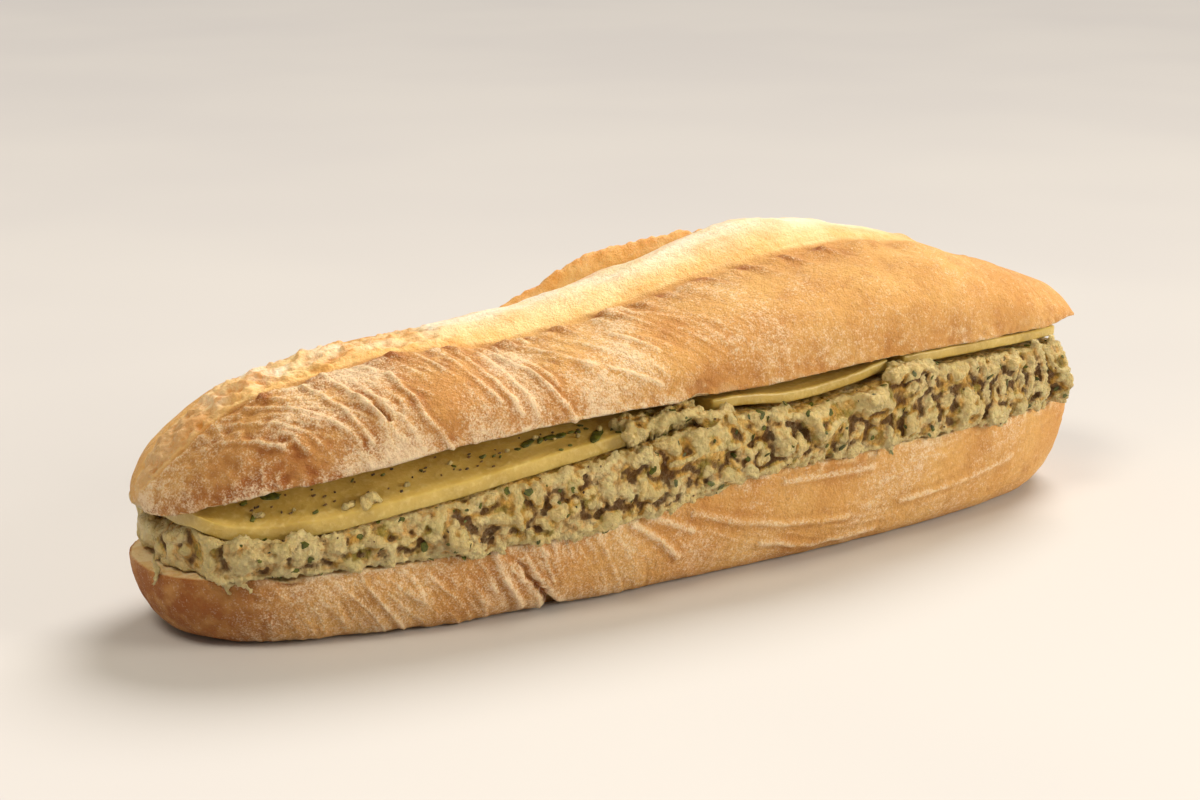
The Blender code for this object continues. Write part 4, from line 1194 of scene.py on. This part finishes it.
def sowing_tree(name):
    """Sows bits over a surface at random, sized and turned at random, and makes them one mesh."""
    group = bpy.data.node_groups.new(name, "GeometryNodeTree")
    for label, kind in (
        ("Surface", "NodeSocketGeometry"), ("Bits", "NodeSocketCollection"), ("Spacing", "NodeSocketFloat"),
        ("Density", "NodeSocketFloat"), ("Where", "NodeSocketString"), ("Smallest", "NodeSocketFloat"),
        ("Largest", "NodeSocketFloat"), ("Seed", "NodeSocketInt"), ("Material", "NodeSocketMaterial"),
    ):
        group.interface.new_socket(label, in_out="INPUT", socket_type=kind)
    group.interface.new_socket("Geometry", in_out="OUTPUT", socket_type="NodeSocketGeometry")
    inlet = group.nodes.new("NodeGroupInput")
    outlet = group.nodes.new("NodeGroupOutput")
    where = group.nodes.new("GeometryNodeInputNamedAttribute")
    where.data_type = "FLOAT"
    spots = group.nodes.new("GeometryNodeDistributePointsOnFaces")
    spots.distribute_method = "POISSON"
    kinds = group.nodes.new("GeometryNodeCollectionInfo")
    kinds.inputs["Separate Children"].default_value = True
    kinds.inputs["Reset Children"].default_value = True
    size = group.nodes.new("FunctionNodeRandomValue")
    size.data_type = "FLOAT"
    spin = group.nodes.new("FunctionNodeRandomValue")
    spin.data_type = "FLOAT_VECTOR"
    spin.inputs[0].default_value = (-0.45, -0.45, 0)
    spin.inputs[1].default_value = (0.45, 0.45, 6.283)
    turned = group.nodes.new("FunctionNodeRotateRotation")
    turned.rotation_space = "LOCAL"
    laid = group.nodes.new("GeometryNodeInstanceOnPoints")
    laid.inputs["Pick Instance"].default_value = True
    real = group.nodes.new("GeometryNodeRealizeInstances")
    coat = group.nodes.new("GeometryNodeSetMaterial")
    join(
        group,
        (inlet, "Surface", spots, "Mesh"), (inlet, "Spacing", spots, "Distance Min"),
        (inlet, "Density", spots, "Density Max"), (inlet, "Seed", spots, "Seed"),
        (inlet, "Where", where, "Name"), (where, "Attribute", spots, "Density Factor"),
        (inlet, "Bits", kinds, "Collection"), (inlet, "Smallest", size, 2), (inlet, "Largest", size, 3),
        (inlet, "Seed", size, "Seed"), (inlet, "Seed", spin, "Seed"), (spots, "Rotation", turned, "Rotation"),
        (spin, 0, turned, "Rotate By"), (spots, "Points", laid, "Points"),
        (kinds, "Instances", laid, "Instance"), (turned, "Rotation", laid, "Rotation"),
        (size, 1, laid, "Scale"), (laid, "Instances", real, "Geometry"),
        (real, "Geometry", coat, "Geometry"), (inlet, "Material", coat, "Material"),
        (coat, "Geometry", outlet, "Geometry"),
    )
    return group


def bit_shapes(name, count, flatness, seed, length=1.6):
    """A few small irregular shapes, one metre across before they are sized."""
    shapes = bpy.data.collections.new(name)
    draw = np.random.default_rng(seed)
    for i in range(count):
        points, faces = ball(1)
        swell = 1 + 0.5 * grain(points + draw.uniform(0, 50, 3), 0.9)
        points = points * swell[:, None] * (length / 2, 0.5, flatness / 2)
        points[:, 2] += 0.35 * flatness * points[:, 0] ** 2
        mesh = new_mesh(f"{name}_{i}", points, faces.tolist())
        shapes.objects.link(bpy.data.objects.new(mesh.name, mesh))
    return shapes


def sow(name, surface, shapes, material, spacing, density, where, smallest, largest, seed, slot):
    """Runs the sowing tree over one piece and keeps the result as a plain mesh."""
    host = in_scene("host", surface.data.copy())
    modifier = host.modifiers.new("sow", "NODES")
    modifier.node_group = sowing
    wanted = {
        "Bits": shapes, "Spacing": spacing * MM, "Density": density, "Where": where,
        "Smallest": smallest * MM, "Largest": largest * MM, "Seed": seed, "Material": material,
    }
    for socket in sowing.interface.items_tree:
        if socket.in_out == "INPUT" and socket.name in wanted:
            modifier[socket.identifier] = wanted[socket.name]
    host.update_tag()
    bpy.context.view_layer.update()
    mesh = bpy.data.meshes.new_from_object(host.evaluated_get(bpy.context.evaluated_depsgraph_get()))
    mesh.name = name
    bpy.data.objects.remove(host)
    piece = in_scene(name, mesh)
    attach(piece, "root")


finishes = []
for name, dark, light, roughness in (
    ("chopped green herb", dye(54, 60, 8), dye(90, 96, 18), 0.45),
    ("cracked pepper", dye(52, 42, 28), dye(116, 88, 52), 0.55),
    ("bread crumbs", dye(232, 196, 132), dye(206, 150, 84), 0.8),
):
    material, tree, shader = new_material(name, roughness)
    colour = add_mix(tree, add_mottle(tree, 0.0011, 0.35, 0.65, 0, 1, 2), dark, light)
    tree.links.new(colour, shader.inputs["Base Color"])
    add_bump(tree, shader, add_mottle(tree, 0.0004, 0.2, 0.8, 0, 1, 2), 0.0001, 0.5)
    finishes.append(material)
herb, pepper, crumbs = finishes

sowing = sowing_tree("sow bits")
flake_shapes = bit_shapes("flake", 4, 0.28, 61)
grit_shapes = bit_shapes("grit", 3, 0.75, 62, 1.2)
salad_front = bpy.data.objects["salad_front"]
salad_back = bpy.data.objects["salad_back"]
# Each kind: its name, what carries it, shapes, material, spacing in millimetres, how many to a
# square metre, the mask that it keeps to, its smallest and largest size, seed and slot
for kind in (
    ("herbs_front", salad_front, flake_shapes, herb, 1.4, 24000, "shown", 0.5, 1.5, 3, "salad"),
    ("herbs_back", salad_back, flake_shapes, herb, 1.8, 13000, "shown", 0.5, 1.5, 4, "salad"),
    ("pepper_front", salad_front, grit_shapes, pepper, 1.8, 12000, "shown", 0.25, 0.55, 5, "salad"),
    ("crumbs_top", bread_top, grit_shapes, crumbs, 3, 1500, "crumb", 0.4, 0.9, 6, "crust"),
):
    sow(*kind)

# Flecks that lie on the long slice where it shows: X and Y in millimetres, and length
LONG_SLICE_FLECKS = (
    (-90.3, -15.6, 3.6), (-95.2, -14.4, 1.4), (-84.8, -22.4, 1.2), (-95.0, -18.0, 1.6), (-58.2, -25.4, 1.0),
    (-52.3, -25.6, 1.4), (-50.4, -26.4, 1.0), (-45.6, -26.8, 1.2), (-43.1, -26.0, 3.0), (-40.5, -26.3, 2.2),
    (-38.4, -26.5, 3.2), (-36.2, -26.7, 2.4), (-34.0, -26.8, 1.6), (-32.8, -27.3, 1.2), (-31.2, -25.4, 1.2),
    (-30.9, -27.1, 1.0), (-30.7, -30.4, 4.6), (-38.7, -31.0, 0.9), (-36.5, -30.6, 1.0), (-23.0, -28.3, 1.2),
    (-49.5, -27.2, 0.8), (-70.5, -21.0, 1.0), (-64.0, -23.5, 0.8), (-76.0, -19.5, 0.9), (-27.0, -30.0, 1.0),
)
draw = np.random.default_rng(7)
flecks = []
for x, y, length in LONG_SLICE_FLECKS:
    points, faces = ball(2)
    swell = 1 + 0.55 * grain(points + draw.uniform(0, 50, 3), 0.8)
    points = points * swell[:, None] * (0.5 * length * MM, draw.uniform(0.2, 0.3) * length * MM, 0.22 * MM)
    points = points @ np.array(Matrix.Rotation(draw.uniform(-0.9, 0.9), 3, "Z")).T
    place = np.array((x, y)) * MM
    points[:, :2] += place
    points[:, 2] += cheese_low(points[:, 0], points[:, 1]) + CHEESE_THICKNESS + 0.08 * MM
    flecks.append((points, faces))
peppered = []
for i in range(46):
    x = draw.uniform(-98, -30) * MM
    y = -0.975 * float(plan_width(np.array(x))) + draw.uniform(1.5, 8.5) * MM
    points, faces = small_ball
    swell = 1 + 0.5 * grain(points + draw.uniform(0, 50, 3), 0.8)
    size = np.array((draw.uniform(0.16, 0.42), draw.uniform(0.12, 0.26), 0.16)) * MM
    points = points * swell[:, None] * size
    points[:, :2] += (x, y)
    points[:, 2] += cheese_low(points[:, 0], points[:, 1]) + CHEESE_THICKNESS + 0.06 * MM
    peppered.append((points, faces))
for name, bits, finish in (("flecks_on_cheese", flecks, herb), ("pepper_on_cheese", peppered, pepper)):
    points, faces = merged(bits)
    mesh = new_mesh(name, points, faces.tolist())
    mesh.shade_smooth()
    mesh.materials.append(finish)
    piece = in_scene(name, mesh)
    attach(piece, "root")


# FLOOR, LIGHT AND CAMERA
# A plain pale floor, a broad warm key light from high behind the right end, a soft one low at the
# front right and one overhead, and the camera low over the blunt end.

floor_material, tree, shader = new_material("pale floor", 1.0)
tree.links.new(
    add_mix(tree, add_mottle(tree, 0.2, 0.3, 0.7, 0, 1, 2), dye(204, 205, 212), dye(208, 209, 215)),
    shader.inputs["Base Color"],
)
shader.inputs["Specular IOR Level"].default_value = 0.1
corners = np.array(((-4, -4, 0), (8, -4, 0), (8, 9, 0), (-4, 9, 0)))
mesh = new_mesh("floor", corners, [(0, 1, 2, 3)])
mesh.materials.append(floor_material)
floor = in_scene("floor", mesh)

sun = bpy.data.lights.new("key light", "SUN")
sun.energy = 3.0
sun.angle = 0.55
sun.color = (1.0, 0.92, 0.80)
key = in_scene("key light", sun)
towards_sun = Vector((0.62, 0.34, 0.82))
key.rotation_euler = towards_sun.to_track_quat("Z", "Y").to_euler()
middle = Vector((0, 0, 0.03))
for name, place, size, power, warmth in (
    ("side light", (0.70, -0.75, 0.38), 0.42, 8.2, (1.0, 0.89, 0.70)),
    ("overhead light", (-0.55, -0.28, 0.95), 0.35, 4.7, (1.0, 0.87, 0.66)),
):
    light = bpy.data.lights.new(name, "AREA")
    light.size = size
    light.energy = power
    light.color = warmth
    lamp = in_scene(name, light)
    lamp.location = place
    lamp.rotation_euler = (middle - Vector(place)).to_track_quat("-Z", "Y").to_euler()
world = bpy.data.worlds.new("studio")
world.use_nodes = True
world.node_tree.nodes["Background"].inputs["Color"].default_value = (1.0, 0.86, 0.66, 1)
world.node_tree.nodes["Background"].inputs["Strength"].default_value = 0.27
bpy.context.scene.world = world

azimuth, elevation, distance = math.radians(32), math.radians(15), 0.4718
aim = Vector((-0.01086, 0, 0.03127))
level_back = math.cos(elevation)
back = Vector((-math.sin(azimuth) * level_back, -math.cos(azimuth) * level_back, math.sin(elevation)))
lens = bpy.data.cameras.new("camera")
lens.lens = 70
lens.sensor_width = 36
lens.clip_start = 0.01
camera = in_scene("camera", lens)
camera.location = aim + back * distance
camera.rotation_euler = (-back).to_track_quat("-Z", "Y").to_euler()
bpy.context.scene.camera = camera
bpy.context.scene.view_settings.view_transform = "Standard"
